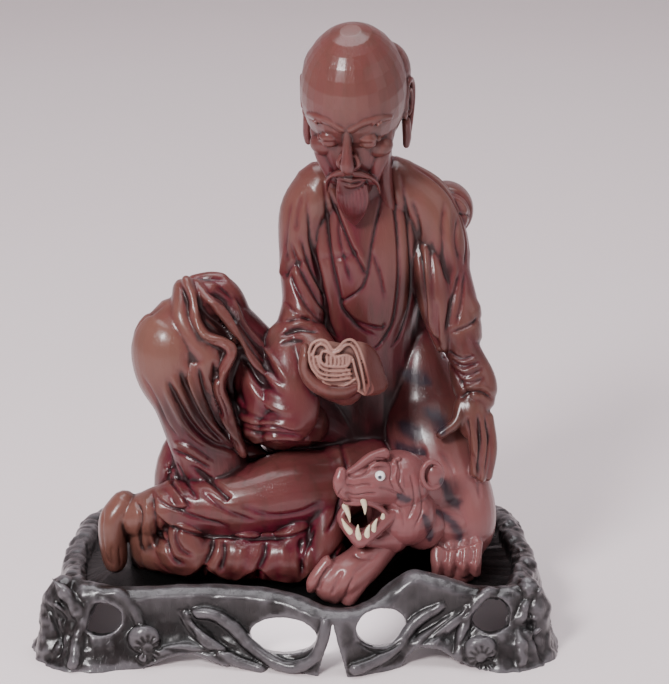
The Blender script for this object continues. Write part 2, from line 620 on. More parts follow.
LEFT_HAND = [
    [(92, 142, -10, 7, 6), (91, 134, -14, 8, 6), (93, 127, -15, 8.5, 5.5)],
    [(90, 130, -17, 3, 4), (92.5, 116, -20, 3, 4), (92.5, 104, -22, 2.6, 3)],
    [(95, 130, -16, 3.2, 4), (97, 114, -19, 3, 4), (95.5, 101, -22, 2.4, 3)],
    [(99, 131, -13, 3, 4), (101, 116, -16, 2.8, 4), (99, 102, -19, 2.4, 3)],
    [(86, 138, -12, 4, 5), (83, 129, -17, 3.2, 4), (75.5, 123, -20, 2.6, 3)],
]
SCROLL_COVER = [(7.5, 163, -38, 2.6, 8), (7.5, 156, -38, 3.4, 8), (11.5, 149.5, -38, 4.2, 9),
                (19, 145.5, -38, 4.6, 9),
                (27, 145, -38, 4.4, 9), (34, 147.5, -37, 3.2, 8)]

# %% [markdown]
# ## The tiger
#
# It crouches beside him with its jaws open. Its body belongs to the big block, and its head, which has an
# eye, ears, wrinkles and lips, is melted finely as a piece of its own.

# %% Masses of the tiger
TIGER_BACK = [(66, 172, 22, 6, 8), (66, 160, 18, 13, 12), (68, 140, 14, 23, 17), (72, 120, 5, 24, 22),
              (79, 100, -4, 20, 23)]
TIGER_CHEST = [(78, 108, -2, 19, 20), (86, 90, -8, 16.5, 20), (88, 77, -12, 15, 19), (86, 68, -16, 12, 16)]
TIGER_BREAST = [(52, 82, -24, 13, 15), (66, 80, -21, 13, 16), (80, 78, -17, 13, 16)]
TIGER_RIGHT_LEG = [(84, 72, -18, 12, 13), (83, 64, -24, 12, 12), (82, 57, -28, 12, 10)]
TIGER_NECK = [(76, 98, -4, 18, 18), (64, 96, -14, 19, 18), (56, 95, -26, 18, 16)]
TIGER_MUZZLE = [(48, 99, -40, 12, 13), (38, 98, -48, 9.5, 11), (30, 98, -53, 7, 8), (26.5, 97.5, -56, 5, 5)]
TIGER_JAWS = [
    [(52, 84, -42, 4, 6), (49, 81, -46, 3.6, 5), (43, 76, -51, 3.8, 4), (38, 71.5, -55, 4, 4),
     (35, 70, -56, 4, 4)],
    [(28, 86, -46, 2.4, 5), (26, 81, -49, 2.6, 4), (29, 76, -53, 3, 4), (34, 71, -56, 4, 4)],
    [(50, 72, -38, 9, 10), (42, 71, -44, 6, 8), (36, 72, -49, 4, 5)],
]
TIGER_FORELEG = [(50, 74, -30, 9, 12), (43, 66, -38, 9.5, 12), (36, 58, -46, 10, 11),
                 (28, 52, -51, 10.5, 11),
                 (21, 48, -53, 9.5, 9)]

# hidden sides, in plain places in space: across, back, up, half width, half depth
SEAT_HEM = [(-74, 8, 36, 12, 12), (-58, 22, 36, 13, 13), (-30, 33, 36, 14, 14), (0, 37, 36, 14, 14),
            (26, 38, 36, 13, 13)]
BACK_CLOTH = [(-42, 0, 150, 12, 14), (-43, 4, 120, 14, 16), (-44, 8, 90, 16, 18), (-46, 8, 60, 20, 20)]
HAUNCH = [(80, 14, 70, 18, 22), (82, 26, 56, 18, 21), (82, 30, 40, 18, 18)]
TAIL = [(92, 36, 36, 5, 5), (78, 45, 33, 5.5, 5.5), (56, 48, 34, 5, 5), (38, 47, 40, 4.5, 4.5),
        (28, 46, 50, 4, 4)]


def model_man(clay):
    """Every mass of the seated man below the head."""
    for rows in (TORSO, NECK, ROBE_BEHIND, RIGHT_ARM, RIGHT_FOREARM, RIGHT_SLEEVE, LAP_CLOTH, UNDER_SLEEVE,
                 RIGHT_THIGH,
                 RIGHT_SHIN, FLAP, FOLD_BEHIND, FOLD_MIDDLE, FOLD_FRONT, LEFT_THIGH, LEFT_SHIN, FOOT, SKIRT,
                 HEM_SHEET, *HEM_LOBES, LEFT_ARM, SLEEVE_CORNER, LEFT_FOREARM, LEFT_SLEEVE, *LEFT_HAND,
                 SCROLL_COVER):
        clay.limb(rows)
    clay.ball((10, 18, 46), (80, 32, 34))
    clay.ball((-40, -4, 66), (30, 18, 42))
    clay.ball((36, 30, 96), (42, 25, 62))
    for rows in (SEAT_HEM, BACK_CLOTH):
        clay.bar(rows)
    clay.ball(seen(78, 235.5, 34), (14, 22, 14))


def model_tiger_body(clay):
    """Back, chest, legs, haunch and tail, with the toes as short lofts side by side."""
    for rows in (TIGER_BACK, TIGER_CHEST, TIGER_BREAST, TIGER_RIGHT_LEG, TIGER_NECK[:2], TIGER_FORELEG):
        clay.limb(rows)
    for rows in (HAUNCH, TAIL):
        clay.bar(rows)
    for across in (74, 80, 87, 93):
        clay.limb([(across, 68, -30, 3.2, 4), (across - 0.5, 60, -36, 3.4, 4), (across, 54, -37, 2.6, 3)])
        clay.limb([(across - 0.2, 60, -39, 1.0, 1.2), (across - 0.2, 56, -40, 1.2, 1.4),
                   (across, 53, -39.5, 0.7, 0.8)])
    for toe in range(4):
        clay.limb([(18.5 + 6.2 * toe, 59 - 3 * toe, -54, 3.2, 4),
                   (12 + 6 * toe, 50 - 3.2 * toe, -57, 3.4, 4),
                   (10.5 + 6.2 * toe, 46 - 3 * toe, -56, 2.4, 3)])


# %% The tiger's head
def model_tiger_head(clay):
    """Skull, muzzle and jaws as in the CAD model, then lips, nose, lids, brow and ears as thin lofts."""
    for rows in (TIGER_NECK, TIGER_MUZZLE, *TIGER_JAWS):
        clay.limb(rows)
    clay.ball(seen(54, 99, -34), (16, 16, 16))
    clay.ball(seen(57, 83, -35), (16, 15, 16))
    clay.ball(seen(66, 78, -30), (12, 12, 13))
    for rows in TIGER_FEATURES:
        clay.limb(rows)
    angle = np.linspace(0, 2 * math.pi, 13)
    clay.limb([(71 + 5.0 * math.cos(a), 102.5 + 6.6 * math.sin(a), -44 + 2.5 * math.cos(a), 1.3,
                1.5) for a in angle])
    clay.ball(seen(71.6, 102.5, -41), (5.0, 4.5, 6.6))


TIGER_FEATURES = [
    # nose
    [(25.5, 104, -57, 2.6, 2.6), (24.6, 99, -58.5, 3.2, 3), (25.6, 94, -58, 2.8, 2.6),
     (28, 91.5, -56.5, 1.6, 2)],
    # ridge of the snout, and the brow over the near eye
    [(28, 103, -56, 1.6, 2.0), (33, 106, -52, 2.0, 2.4), (40, 111, -46, 2.6, 3), (47, 113, -42, 3.2, 3)],
    [(40.5, 106.5, -49.5, 1.0, 1.2), (43.5, 107.8, -49, 1.3, 1.3), (48, 107.2, -46.5, 1.4, 1.4),
     (51, 103.5, -45, 1.0, 1.2)],
    [(40.8, 99.8, -50, 0.8, 1.0), (44, 97.4, -50, 1.0, 1.1), (48.5, 96.6, -48, 1.1, 1.2),
     (54, 95, -45, 0.8, 1.0)],
    # folded far ear
    [(43.5, 112, -42, 1.6, 2), (46, 107.8, -44.5, 1.2, 1.6), (50, 107.6, -43.5, 1.2, 1.6),
     (54, 110.5, -41, 1.4, 1.6)],
    # wrinkles beside the nose
    [(29, 102, -54, 0.9, 1.2), (33, 100.4, -54.5, 1.3, 1.4), (37.5, 102, -52, 0.8, 1.2)],
    [(28.5, 97, -55, 0.9, 1.2), (33.5, 95.2, -55.5, 1.3, 1.4), (38.5, 96.8, -53, 0.8, 1.2)],
    [(29, 91.5, -54.5, 1.0, 1.2), (34, 90.4, -55.5, 1.4, 1.6), (40, 91.5, -53, 1.0, 1.2)],
    # upper lip and lower lip
    [(28, 89, -53, 1.4, 2), (33, 88.4, -55, 1.5, 2), (39, 88.6, -53.5, 1.5, 2), (45, 86, -50, 1.5, 2),
     (50, 81, -47, 1.5, 2)],
    [(24.8, 81, -50, 1.0, 1.6), (28.5, 74.5, -54, 1.1, 1.6), (34, 68.6, -57.5, 1.4, 1.6),
     (40.5, 74, -54, 1.2, 1.6),
     (49.5, 81.5, -48, 1.2, 1.6)],
    # cheek folds
    [(52, 109, -42, 1.0, 1.4), (54.5, 103, -43.5, 1.2, 1.4), (54, 97, -44, 1.1, 1.4),
     (58, 91, -43, 0.8, 1.2)],
    [(58, 88, -42, 0.9, 1.2), (57, 80, -42, 1.2, 1.4), (54, 73, -42, 0.9, 1.2)],
]


TIGER_FACE = [
    # folds beside the eye, over the cheek and on the neck, then the wrinkles of the snout
    (0.7, 0.8, 0, [(51, 113), (53, 106), (52.5, 100), (56, 93)]),
    (-0.8, 0.6, 0, [(49.3, 112), (51, 105), (50.5, 100), (53, 94)]),
    (-0.8, 0.6, 0, [(53.5, 111), (55.5, 104), (55, 98), (58.5, 92)]),
    (-0.7, 0.6, 0, [(44, 96.5), (50, 95), (56, 92)]),
    (-0.9, 0.8, 0, [(60, 104), (62, 96), (62, 88), (58, 79)]),
    (-0.9, 0.8, 0, [(64.5, 98), (66, 91), (66, 84), (62, 75)]),
    (-0.6, 0.7, 0, [(51, 89), (56, 84), (57, 75)]),
    (-1.0, 0.6, 0, [(28, 103.5), (32, 101.5), (37, 103), (40, 106)]),
    (-1.0, 0.6, 0, [(27.5, 98.5), (32, 97), (38, 98), (42, 97)]),
    (-1.0, 0.6, 0, [(28, 93.5), (33, 92.2), (39, 93.2), (44, 93)]),
    (-0.8, 0.5, 0, [(26.5, 96), (24.5, 93), (26, 90)]),
    (-0.5, 0.5, 0, [(42, 111), (47, 110.5), (50, 108)]),
    (-0.6, 0.6, 0, [(47, 73), (42, 70), (37, 66)]),
]


def build_tiger_head():
    """The tiger's head, melted finely."""
    clay = Clay()
    model_tiger_head(clay)
    points, faces = melted(clay, FINE_VOXEL, 2)
    print("tiger's head:", len(faces), "squares")
    return carve(points, faces, TIGER_FACE), faces


tiger_points, tiger_faces = build_tiger_head()

# %% [markdown]
# ## The scroll
#
# The old man reads a loosely rolled scroll. Its near end shows the sheets edge-on, one inside the other,
# so it is built as nested outlines, each a little proud of the one outside it, and swept back.

# %% Sheets of the scroll
SCROLL_EDGE = [(10.5, 165), (13, 168.5), (16.5, 169.5), (20, 167), (22.5, 164), (25.5, 168), (30, 169.5),
               (34, 167), (37, 161), (39.5, 152.5), (42, 145), (38, 142), (34, 144), (30, 146), (22.5, 146),
               (16, 148), (11.5, 154), (9.5, 160)]
SCROLL_FRONT, SCROLL_BACK, SCROLL_RUN = -44.0, -20.0, 12.0


def model_scroll(clay):
    """The closed outline swept back and aside, as in the CAD model, then each sheet's edge as a loft."""
    edge = through(SCROLL_EDGE + SCROLL_EDGE[:1], 4)[:-1]
    slices = np.linspace(0, 1, 9)[:, None]
    middle, shrink = edge.mean(0), 1 - 0.3 * slices**3
    clay.rings(seen(middle[0] + (edge[:, 0] - middle[0]) * shrink + SCROLL_RUN * slices,
                    middle[1] + (edge[:, 1] - middle[1]) * shrink,
                    SCROLL_FRONT + (SCROLL_BACK - SCROLL_FRONT) * slices))
    for line, out in SHEETS:
        rows = through(line, 6)
        spots = seen(rows[:, 0], rows[:, 1], SCROLL_FRONT - out)
        clay.loft(spots, np.full(len(spots), 0.75), np.full(len(spots), 1.6))


SHEETS = [
    ([(9.5, 164), (11, 168), (15, 170), (18.5, 169), (21.5, 165), (24, 166), (27.5, 169.5), (31, 170),
      (34, 167),
      (36.5, 161), (38.5, 154), (39.5, 147.5), (38, 143.5)], 0.4),
    ([(11.5, 163), (13, 166.5), (15.5, 168), (18, 166.8), (20.5, 163.6), (24.5, 164.5), (28, 167.5),
      (31, 167.2),
      (33.5, 163), (35.5, 156), (37, 149), (37.5, 145)], 0.8),
    ([(9.6, 163), (10, 159), (12, 154.5), (16, 151), (22, 150), (30, 151)], 0.3),
    ([(11.6, 162), (12.5, 157.5), (15.5, 153.5), (22, 152.2), (30, 153)], 0.6),
    ([(13.6, 161.5), (15, 157), (18.5, 154.8), (24, 154.4), (29.5, 155)], 0.9),
    ([(15.4, 162.5), (16.5, 164.4), (19, 163.8), (23, 161.8), (28, 162.5), (30.5, 161.5)], 0.9),
    ([(15.4, 162), (15.6, 159.4), (17.6, 157.4), (21, 156.8), (27.5, 156.8), (29.5, 158.5), (29.8, 161)],
     1.1),
    ([(31.5, 160), (33, 154), (34.5, 148.5), (34.5, 146)], 1.0),
    ([(16.5, 148.8), (22, 146.6), (28, 147.6), (32.5, 150.5)], -0.4),
] + [([(x, 161.4), (x + 0.2, 159.4), (x, 157.6)], 1.0) for x in (18.4, 20.4, 22.4, 24.4, 26.4, 28.2)]


def build_scroll():
    """The scroll, melted finely."""
    clay = Clay()
    model_scroll(clay)
    points, faces = melted(clay, FINE_VOXEL, 1)
    print("scroll:", len(faces), "squares")
    return points, faces


scroll_points, scroll_faces = build_scroll()

# %% [markdown]
# ## Fold lines
#
# These are the cuts that make cloth out of the smooth block: height, half width, side and the drawn line.
# Valleys are negative. They are grouped as the carver would go: collar, sleeves, knee, lap and hem.

# %% Folds of the front
ROBE_LINES = [
    # the collar's bands
    (-1.4, 1.0, 0, [(16, 254), (18, 240), (19, 225), (21, 210), (25, 192.5), (27.5, 184), (35, 176),
                    (44, 171)]),
    (-1.2, 1.0, 0, [(8, 245), (10, 225), (14, 205), (17.5, 190), (20, 177.5), (25, 169)]),
    (0.7, 2.4, 0, [(12, 250), (14, 232.5), (16.5, 210), (20.5, 190), (24, 177.5), (30, 171)]),
    (-1.4, 1.0, 0, [(49, 257.5), (51, 245), (53.5, 225), (54.5, 205), (53.5, 190), (51, 177.5),
                    (45, 167.5), (41, 165)]),
    (-1.2, 1.0, 0, [(55, 255), (57.5, 240), (59.5, 220), (60.5, 200), (59, 185), (55, 172.5), (50, 165)]),
    (0.7, 2.4, 0, [(52, 256), (54.5, 240), (56.5, 220), (57.5, 200), (56, 185), (52.5, 174)]),
    (-1.2, 0.9, 0, [(18.5, 247.5), (24, 232.5), (30, 217.5), (36, 206), (38, 202.5)]),
    (-1.2, 0.9, 0, [(46.5, 245), (44, 232.5), (41, 217.5), (38.5, 202.5), (35, 195), (27.5, 190),
                    (24, 188.5)]),
    (0.7, 1.4, 0, [(20.5, 247), (26.5, 232), (32.5, 217.5), (38, 206)]),
    (-1.0, 0.9, 0, [(26, 187.5), (31, 181), (37.5, 177.5), (46, 176), (47.5, 179)]),
    (-0.8, 0.9, 0, [(24, 232.5), (25, 220), (27.5, 209), (31, 197.5)]),
    (-0.8, 0.9, 0, [(41, 215), (45, 202.5), (47.5, 190)]),
    # the sleeve at the viewer's left
    (-1.2, 1.2, 0, [(0, 204), (2, 197.5), (8, 187.5), (17.5, 177.5)]),
    (0.8, 1.3, 0, [(2, 207), (5.5, 199), (11.5, 189), (19, 181.5)]),
    (-1.2, 1.1, 0, [(0, 220), (5, 205), (12.5, 192.5), (19, 181)]),
    (0.8, 1.2, 0, [(3.5, 220), (8, 206), (14, 195), (19, 187)]),
    (-1.1, 1.0, 0, [(5, 222.5), (9, 209), (14, 197.5), (18.5, 187.5)]),
    (-1.0, 1.0, 0, [(9, 225), (12.5, 210), (16, 197.5)]),
    (-0.8, 1.2, 0, [(1, 240), (-1, 230), (-2, 217.5), (-1, 209)]),
    (-0.7, 1.2, 0, [(6, 242.5), (4, 232.5), (3, 224)]),
    (-1.4, 1.2, 0, [(-3.5, 179), (5, 181), (11, 180)]),
    (0.8, 1.4, 0, [(-4.5, 176), (4, 178), (12, 177)]),
    (-1.4, 1.2, 0, [(-5, 172.5), (5, 175), (15, 174)]),
    (-0.9, 1.1, 0, [(-5.5, 167.5), (1, 169.5), (7.5, 169)]),
    (-0.9, 1.1, 0, [(-3.5, 190), (2.5, 184), (9, 181), (16, 178)]),
    # the sleeve at the viewer's right
    (-1.8, 1.3, 0, [(64, 220), (66, 205), (67.5, 190), (69, 175), (77.5, 165)]),
    (-1.0, 1.2, 0, [(70, 220), (71, 195), (72, 175)]),
    (0.8, 1.3, 0, [(67.5, 220), (68.5, 197.5), (70, 177.5), (75, 170)]),
    (-0.9, 1.0, 0, [(73.5, 190), (74, 167.5)]),
    (-1.0, 1.2, 0, [(85, 205), (81, 190), (77.5, 172.5)]),
    (-0.9, 1.1, 0, [(87.5, 205), (86, 190), (83, 177.5)]),
    (-0.9, 1.2, 0, [(77.5, 240), (76, 225), (76.5, 209), (79, 197.5)]),
    (-0.8, 1.2, 0, [(84, 232.5), (83, 220), (85, 209)]),
    (-0.8, 1.2, 0, [(61, 240), (64, 230), (65, 220)]),
    (0.7, 1.5, 0, [(80, 240), (79.5, 220), (82.5, 205), (80, 190)]),
    (-1.2, 1.0, 0, [(80, 173.5), (90, 177.5), (94, 181)]),
    (-1.0, 0.9, 0, [(79, 165), (85, 161), (92.5, 162.5)]),
    (-1.0, 0.9, 0, [(81, 160), (86.5, 157), (95, 159)]),
    (-1.0, 0.9, 0, [(82.5, 155), (88, 152), (97, 156)]),
    (-1.0, 0.9, 0, [(84, 150), (90, 148.5), (97.5, 151)]),
    (0.7, 1.0, 0, [(80, 162.5), (86, 159), (94, 160.5)]),
    (0.7, 1.0, 0, [(82, 157.5), (87, 154.5), (96, 157.5)]),
    (-0.9, 1.1, 0, [(70, 172.5), (80, 157.5), (92.5, 137.5)]),
    # the flask's groove
    (-1.2, 0.9, 0, [(84.5, 233.5), (90.5, 232)]),
    # the cloth over the raised knee
    (1.2, 1.4, 0, [(-45, 199), (-31, 194), (-22.5, 177.5), (-11, 164), (0, 147.5)]),
    (1.2, 1.4, 0, [(-46.5, 198.5), (-43.5, 191.5), (-34, 186), (-29, 179), (-25, 171.5), (-17.5, 157.5),
                   (-2.5, 145)]),
    (-2.2, 1.8, 0, [(-42.5, 195), (-32.5, 190), (-26, 177), (-16, 162.5), (-3, 146.5)]),
    (-2.4, 2.0, 0, [(-47, 194), (-42.5, 184), (-32.5, 175), (-25, 165), (-16, 151), (-2.5, 140)]),
    (1.0, 1.4, 1, [(-51.5, 199), (-47.5, 190), (-48, 180), (-45, 172.5), (-40, 169.5), (-34, 169),
                   (-28.5, 166.5), (-29, 162.5), (-32.5, 156), (-35.5, 151), (-35.5, 144), (-32, 136),
                   (-29, 127.5), (-27, 120), (-23.5, 113.5), (-21, 111)]),
    (-1.6, 1.6, 0, [(-22.5, 167.5), (-26, 157.5), (-29, 147.5), (-27, 137.5), (-23.5, 130)]),
    (1.0, 2.2, 0, [(-22, 152), (-17, 143), (-8, 136), (3, 133)]),
    (-1.0, 1.4, 0, [(-27, 140), (-22.5, 134), (-14, 130.5), (-2.5, 129.5)]),
    (1.5, 1.7, 0, [(-64, 150), (-59, 139), (-52.5, 127.5), (-42.5, 118.5), (-25, 112.5)]),
    (-1.9, 1.4, 0, [(-62, 151.5), (-56, 139), (-49, 127.5), (-39, 118.5), (-25, 114)]),
    (1.5, 1.6, 0, [(-59, 152.5), (-52.5, 140), (-45, 127.5), (-32.5, 117.5)]),
    (-1.9, 1.4, 0, [(-55.5, 156), (-49.5, 141), (-42, 127.5), (-30, 116)]),
    (1.6, 1.6, 0, [(-52.5, 160), (-47.5, 142.5), (-39, 127.5), (-25, 114)]),
    (-2.1, 1.4, 0, [(-47, 159), (-42, 144), (-34.5, 127.5), (-24, 115)]),
    (1.5, 1.5, 0, [(-42.5, 155), (-37.5, 140), (-30, 125), (-22.5, 112.5)]),
    (-1.7, 1.3, 0, [(-38.5, 160), (-35, 144), (-29, 130)]),
    (-0.8, 1.3, 0, [(-75, 154), (-67, 140), (-61, 127.5), (-55, 120)]),
    (1.6, 1.2, -1, [(-62, 101), (-57, 95), (-52, 88.5), (-52, 86.5), (-57, 86), (-64, 90), (-68, 96)]),
    (1.2, 1.0, -1, [(-63, 107), (-60, 104), (-58.5, 100), (-60, 97)]),
    (1.2, 1.4, -1, [(-59, 120), (-50, 117), (-37.5, 108.5)]),
    (-1.4, 1.2, 0, [(-59, 115), (-50, 111), (-39, 105)]),
    (1.2, 1.3, 0, [(-61.5, 110), (-57.5, 100), (-51.5, 87.5)]),
    (-1.2, 1.2, 0, [(-57, 109), (-52, 100), (-46, 90)]),
    # cloth edges under the sleeve
    (1.4, 1.3, 1, [(-27, 132.5), (-23.5, 129.5), (-17.5, 127.5), (-9, 127.5), (0, 125), (7.5, 124)]),
    (1.4, 1.3, 1, [(-27, 130), (-25, 124), (-22, 120), (-17, 118.5), (-7.5, 120), (5, 119.5), (26, 118.5)]),
    (1.0, 1.2, 1, [(-21.5, 110.5), (-14, 112.5), (-5, 114), (5, 117.5)]),
    (-1.4, 1.2, 0, [(-25, 127), (-17, 123.5), (-5, 123), (10, 121)]),
    # the lap
    (-2.0, 1.6, 0, [(-50, 107.5), (-40, 100), (-32.5, 92.5), (-30, 90)]),
    (2.0, 1.4, 1,
     [(-70, 86), (-62, 79), (-52, 75), (-42, 72.5), (-30, 72), (-18, 71), (-6, 71.5), (4, 73.5), (14, 79)]),
    (-1.2, 1.4, 0, [(-62.5, 91.5), (-50, 82.5), (-30, 76.5)]),
    (-0.8, 1.5, 0, [(-25, 87.5), (-10, 82.5), (5, 84), (17.5, 90)]),
    (-0.9, 1.4, 0, [(-45, 95), (-32.5, 85), (-17.5, 79)]),
    # the hem: its wavy lower edge, the shadow under it, and the shallow pleats above
    (1.6, 1.3, 1,
     [(-70, 60), (-62, 54), (-52, 52.5), (-44, 56), (-39, 55), (-34, 51.5), (-27, 50), (-20, 53.5),
                   (-14, 54), (-8, 50), (2, 48.5), (8, 51), (12, 56)]),
    (-4.5, 2.6, 0,
     [(-68, 55), (-60, 50), (-52, 48.5), (-43, 52), (-38, 50), (-32, 47), (-26, 46), (-20, 48.5),
                    (-14, 49), (-8, 46), (2, 44.5), (8, 47)]),
    (-3.0, 2.0, 0, [(-38, 72), (-40, 64), (-43, 56), (-44, 51)]),
    (-2.0, 1.6, 0, [(-33, 70), (-33, 62), (-35, 54)]),
    (-2.2, 1.8, 0, [(-12, 70), (-13, 62), (-16, 54), (-16, 49)]),
    (-1.4, 1.5, 0, [(6, 72), (5, 62), (7, 52)]),
    (1.0, 2.4, 0, [(-24, 68), (-25, 60), (-27, 53)]),
    (1.0, 2.4, 0, [(-4, 69), (-3, 60), (-2, 52)]),
    (-1.6, 1.6, 0, [(-62, 80), (-62, 70), (-59, 61), (-52, 57)]),
    (-1.2, 1.4, 0, [(-56, 78), (-57, 71), (-54, 65), (-47, 61)]),
    (-1.6, 1.2, 0, [(-77.5, 91), (-74.5, 82.5), (-75, 70), (-73, 63.5)]),
    (-1.4, 1.1, 0, [(-69, 95), (-68, 85), (-66, 75), (-60, 65)]),
    (1.0, 1.1, 0, [(-72.5, 92.5), (-71, 82.5), (-70, 72.5), (-66, 63.5)]),
    (-1.2, 1.2, 0, [(12.5, 76), (8, 65), (5, 50)]),
    (-1.6, 1.3, 0, [(25, 120), (28.5, 105), (25, 90), (22.5, 80), (17.5, 72.5)]),
    (-1.2, 1.2, 0, [(27.5, 70), (24, 65), (20, 60)]),
    # the foot's sole
    (-0.8, 0.9, 0, [(-93, 86), (-94, 75), (-92.5, 62.5), (-89, 57)]),
    (-0.7, 0.8, 0, [(-89, 67), (-89, 61), (-88, 56)]),
    (-0.7, 0.8, 0, [(-85.5, 67), (-85, 62), (-84.5, 57)]),
]

TIGER_LINES = [
    # the shoulder, the arch under the chest and the paws
    (-1.6, 1.4, 0, [(66.5, 117.5), (67.5, 105), (67, 90), (67.5, 77.5), (66.5, 67.5)]),
    (1.0, 1.3, -1, [(67.5, 70), (73.5, 67.5), (80, 65), (90, 67.5), (99, 71)]),
    (-1.2, 1.1, 0, [(78, 59), (78.5, 64), (79.5, 67.5)]),
    (-1.2, 1.1, 0, [(85, 57), (85.5, 62), (86, 66)]),
    (-1.2, 1.1, 0, [(91, 58), (91.5, 62.5), (92, 66.5)]),
    (-1.0, 1.0, 0, [(55, 105), (61, 95), (63, 85), (60, 75)]),
    (-1.0, 1.0, 0, [(52.5, 82.5), (55, 75), (52.5, 67.5)]),
    (-0.8, 1.2, 0, [(75, 115), (81, 105), (83, 92.5)]),
    (-0.8, 1.2, 0, [(90, 115), (94, 105), (95, 90)]),
    (-1.0, 1.2, 0, [(45, 64), (37.5, 57.5), (31, 52.5)]),
    (-1.0, 1.0, 0, [(20, 57), (16, 51), (14, 45)]),
    (-1.0, 1.0, 0, [(26.5, 55), (23, 48), (21, 42)]),
    (-1.0, 1.0, 0, [(33, 53), (29.5, 46), (27.5, 40.5)]),
    (-1.4, 1.2, 0, [(46, 70), (41, 67), (36, 67)]),
    (-1.3, 1.2, 0, [(42, 62), (37, 61), (31, 63)]),
    (1.0, 2.0, 0, [(44, 67), (39, 64), (34, 65)]),
    # between the man's fingers, and his cuff
    (-1.3, 0.7, 0, [(94, 134), (94.8, 120), (94.2, 103)]),
    (-1.3, 0.7, 0, [(97.6, 133), (99.2, 118), (97.4, 102)]),
    (-1.2, 0.8, 0, [(88.5, 132), (89.5, 122), (90, 108)]),
    (-1.5, 0.9, 0, [(85, 141), (90, 143.5), (96, 143.5), (102, 140)]),
    (1.0, 1.0, 0, [(84, 144), (90, 146.5), (96, 146.5), (102, 143)]),
]

# %% [markdown]
# ## Folds that the photo's side doesn't show
#
# The back and the sides carry on the same cloth, more plainly: long folds from the shoulders to the seat,
# pleats in the sleeves, and the folds where the robe spreads on the ground.

# %% Folds of the back and sides
BACK_LINES = [
    (-1.9, 2.0, 0, [(-52, 235), (-44, 205), (-38, 165), (-40, 120), (-48, 90), (-52, 60)]),
    (1.2, 2.2, 0, [(-46, 235), (-38, 205), (-32, 165), (-33, 120), (-40, 88), (-42, 55)]),
    (-1.9, 2.0, 0, [(-32, 228), (-26, 185), (-23, 135), (-27, 92), (-25, 48)]),
    (1.2, 2.2, 0, [(-25, 225), (-19, 180), (-15, 135), (-17, 92), (-14, 46)]),
    (-1.7, 1.8, 0, [(-14, 215), (-9, 172), (-4, 125), (3, 85), (8, 42)]),
    (1.2, 2.0, 0, [(-8, 200), (-2, 165), (3, 122), (12, 84), (18, 42)]),
    (-1.7, 1.8, 0, [(-7, 152), (6, 116), (21, 86), (33, 60), (40, 38)]),
    (1.0, 2.0, 0, [(2, 140), (15, 112), (30, 84), (42, 58), (50, 38)]),
    (-1.8, 1.8, 0, [(30, 104), (44, 82), (54, 60), (60, 38)]),
    (-1.5, 1.7, 0, [(38, 130), (50, 104), (62, 80), (70, 56)]),
    (1.4, 2.6, 0, [(-58, 250), (-46, 243), (-34, 240), (-22, 243), (-10, 250)]),
    (-1.2, 1.6, 0, [(-58, 244), (-46, 237), (-34, 234), (-22, 237), (-10, 244)]),
    (-1.6, 1.8, 0, [(-74, 92), (-68, 72), (-60, 56), (-57, 36)]),
    (-1.2, 1.5, 0, [(-82, 86), (-76, 66), (-70, 48), (-68, 34)]),
    (-1.3, 1.6, 0, [(-66, 225), (-72, 205), (-76, 185), (-80, 168)]),
    (0.9, 1.6, 0, [(-60, 222), (-66, 202), (-70, 182), (-74, 166)]),
    (-1.2, 1.6, 0, [(-58, 215), (-62, 196), (-66, 178)]),
    (-1.2, 1.5, 0, [(2, 235), (-2, 215), (-5, 195), (-6, 178)]),
    (-1.1, 1.5, 0, [(-8, 228), (-12, 208), (-14, 190)]),
    (-1.4, 1.6, 0, [(-58, 50), (-30, 44), (0, 42), (28, 45), (52, 50)]),
    (1.0, 1.6, 0, [(-56, 44), (-28, 38), (0, 37), (28, 39), (52, 44)]),
]
LEFT_LINES = [
    (-1.5, 1.7, 0, [(8, 196), (2, 176), (-4, 152), (-6, 128), (-4, 104), (2, 82)]),
    (1.0, 1.7, 0, [(2, 196), (-3, 176), (-9, 152), (-11, 128), (-9, 104), (-3, 82)]),
    (-1.5, 1.7, 0, [(14, 170), (10, 140), (12, 112), (16, 88), (16, 60)]),
    (-1.4, 1.6, 0, [(-10, 150), (-16, 128), (-16, 106), (-10, 84), (-6, 60)]),
    (-1.4, 1.6, 0, [(-2, 84), (2, 62), (4, 40)]),
    (-1.3, 1.5, 0, [(-16, 84), (-20, 62), (-22, 42)]),
    (-1.2, 1.5, 0, [(-28, 78), (-32, 58), (-33, 42)]),
    (-1.2, 1.5, 0, [(-10, 238), (-14, 220), (-12, 200), (-6, 182)]),
    (-1.1, 1.4, 0, [(-20, 236), (-22, 218), (-20, 198)]),
]
RIGHT_LINES = [
    (-1.4, 1.6, 0, [(30, 160), (26, 132), (24, 104), (26, 76), (30, 50)]),
    (-1.3, 1.5, 0, [(20, 232), (24, 212), (22, 192), (14, 178)]),
    (0.9, 1.6, 0, [(14, 232), (18, 212), (16, 192), (9, 178)]),
    (-1.2, 1.4, 0, [(8, 232), (11, 212), (9, 192), (3, 180)]),
    (-1.4, 1.8, 0, [(4, 112), (0, 96), (-2, 80), (-6, 66)]),
    (-1.2, 1.6, 0, [(20, 92), (14, 78), (10, 62)]),
    (-1.0, 1.2, 0, [(34, 58), (28, 50), (26, 40)]),
]

# %% Carving the block
def build_block():
    """The man's body and the tiger's, melted together and carved from the front, back and both sides."""
    clay = Clay()
    model_man(clay)
    model_tiger_body(clay)
    points, faces = melted(clay, VOXEL, 7)
    print("block:", len(faces), "squares")
    for strokes, rays in ((ROBE_LINES + TIGER_LINES, from_front), (BACK_LINES, from_behind),
                          (LEFT_LINES, from_left), (RIGHT_LINES, from_right)):
        points = carve(points, faces, strokes, rays)
    return points, faces


block_points, block_faces = build_block()

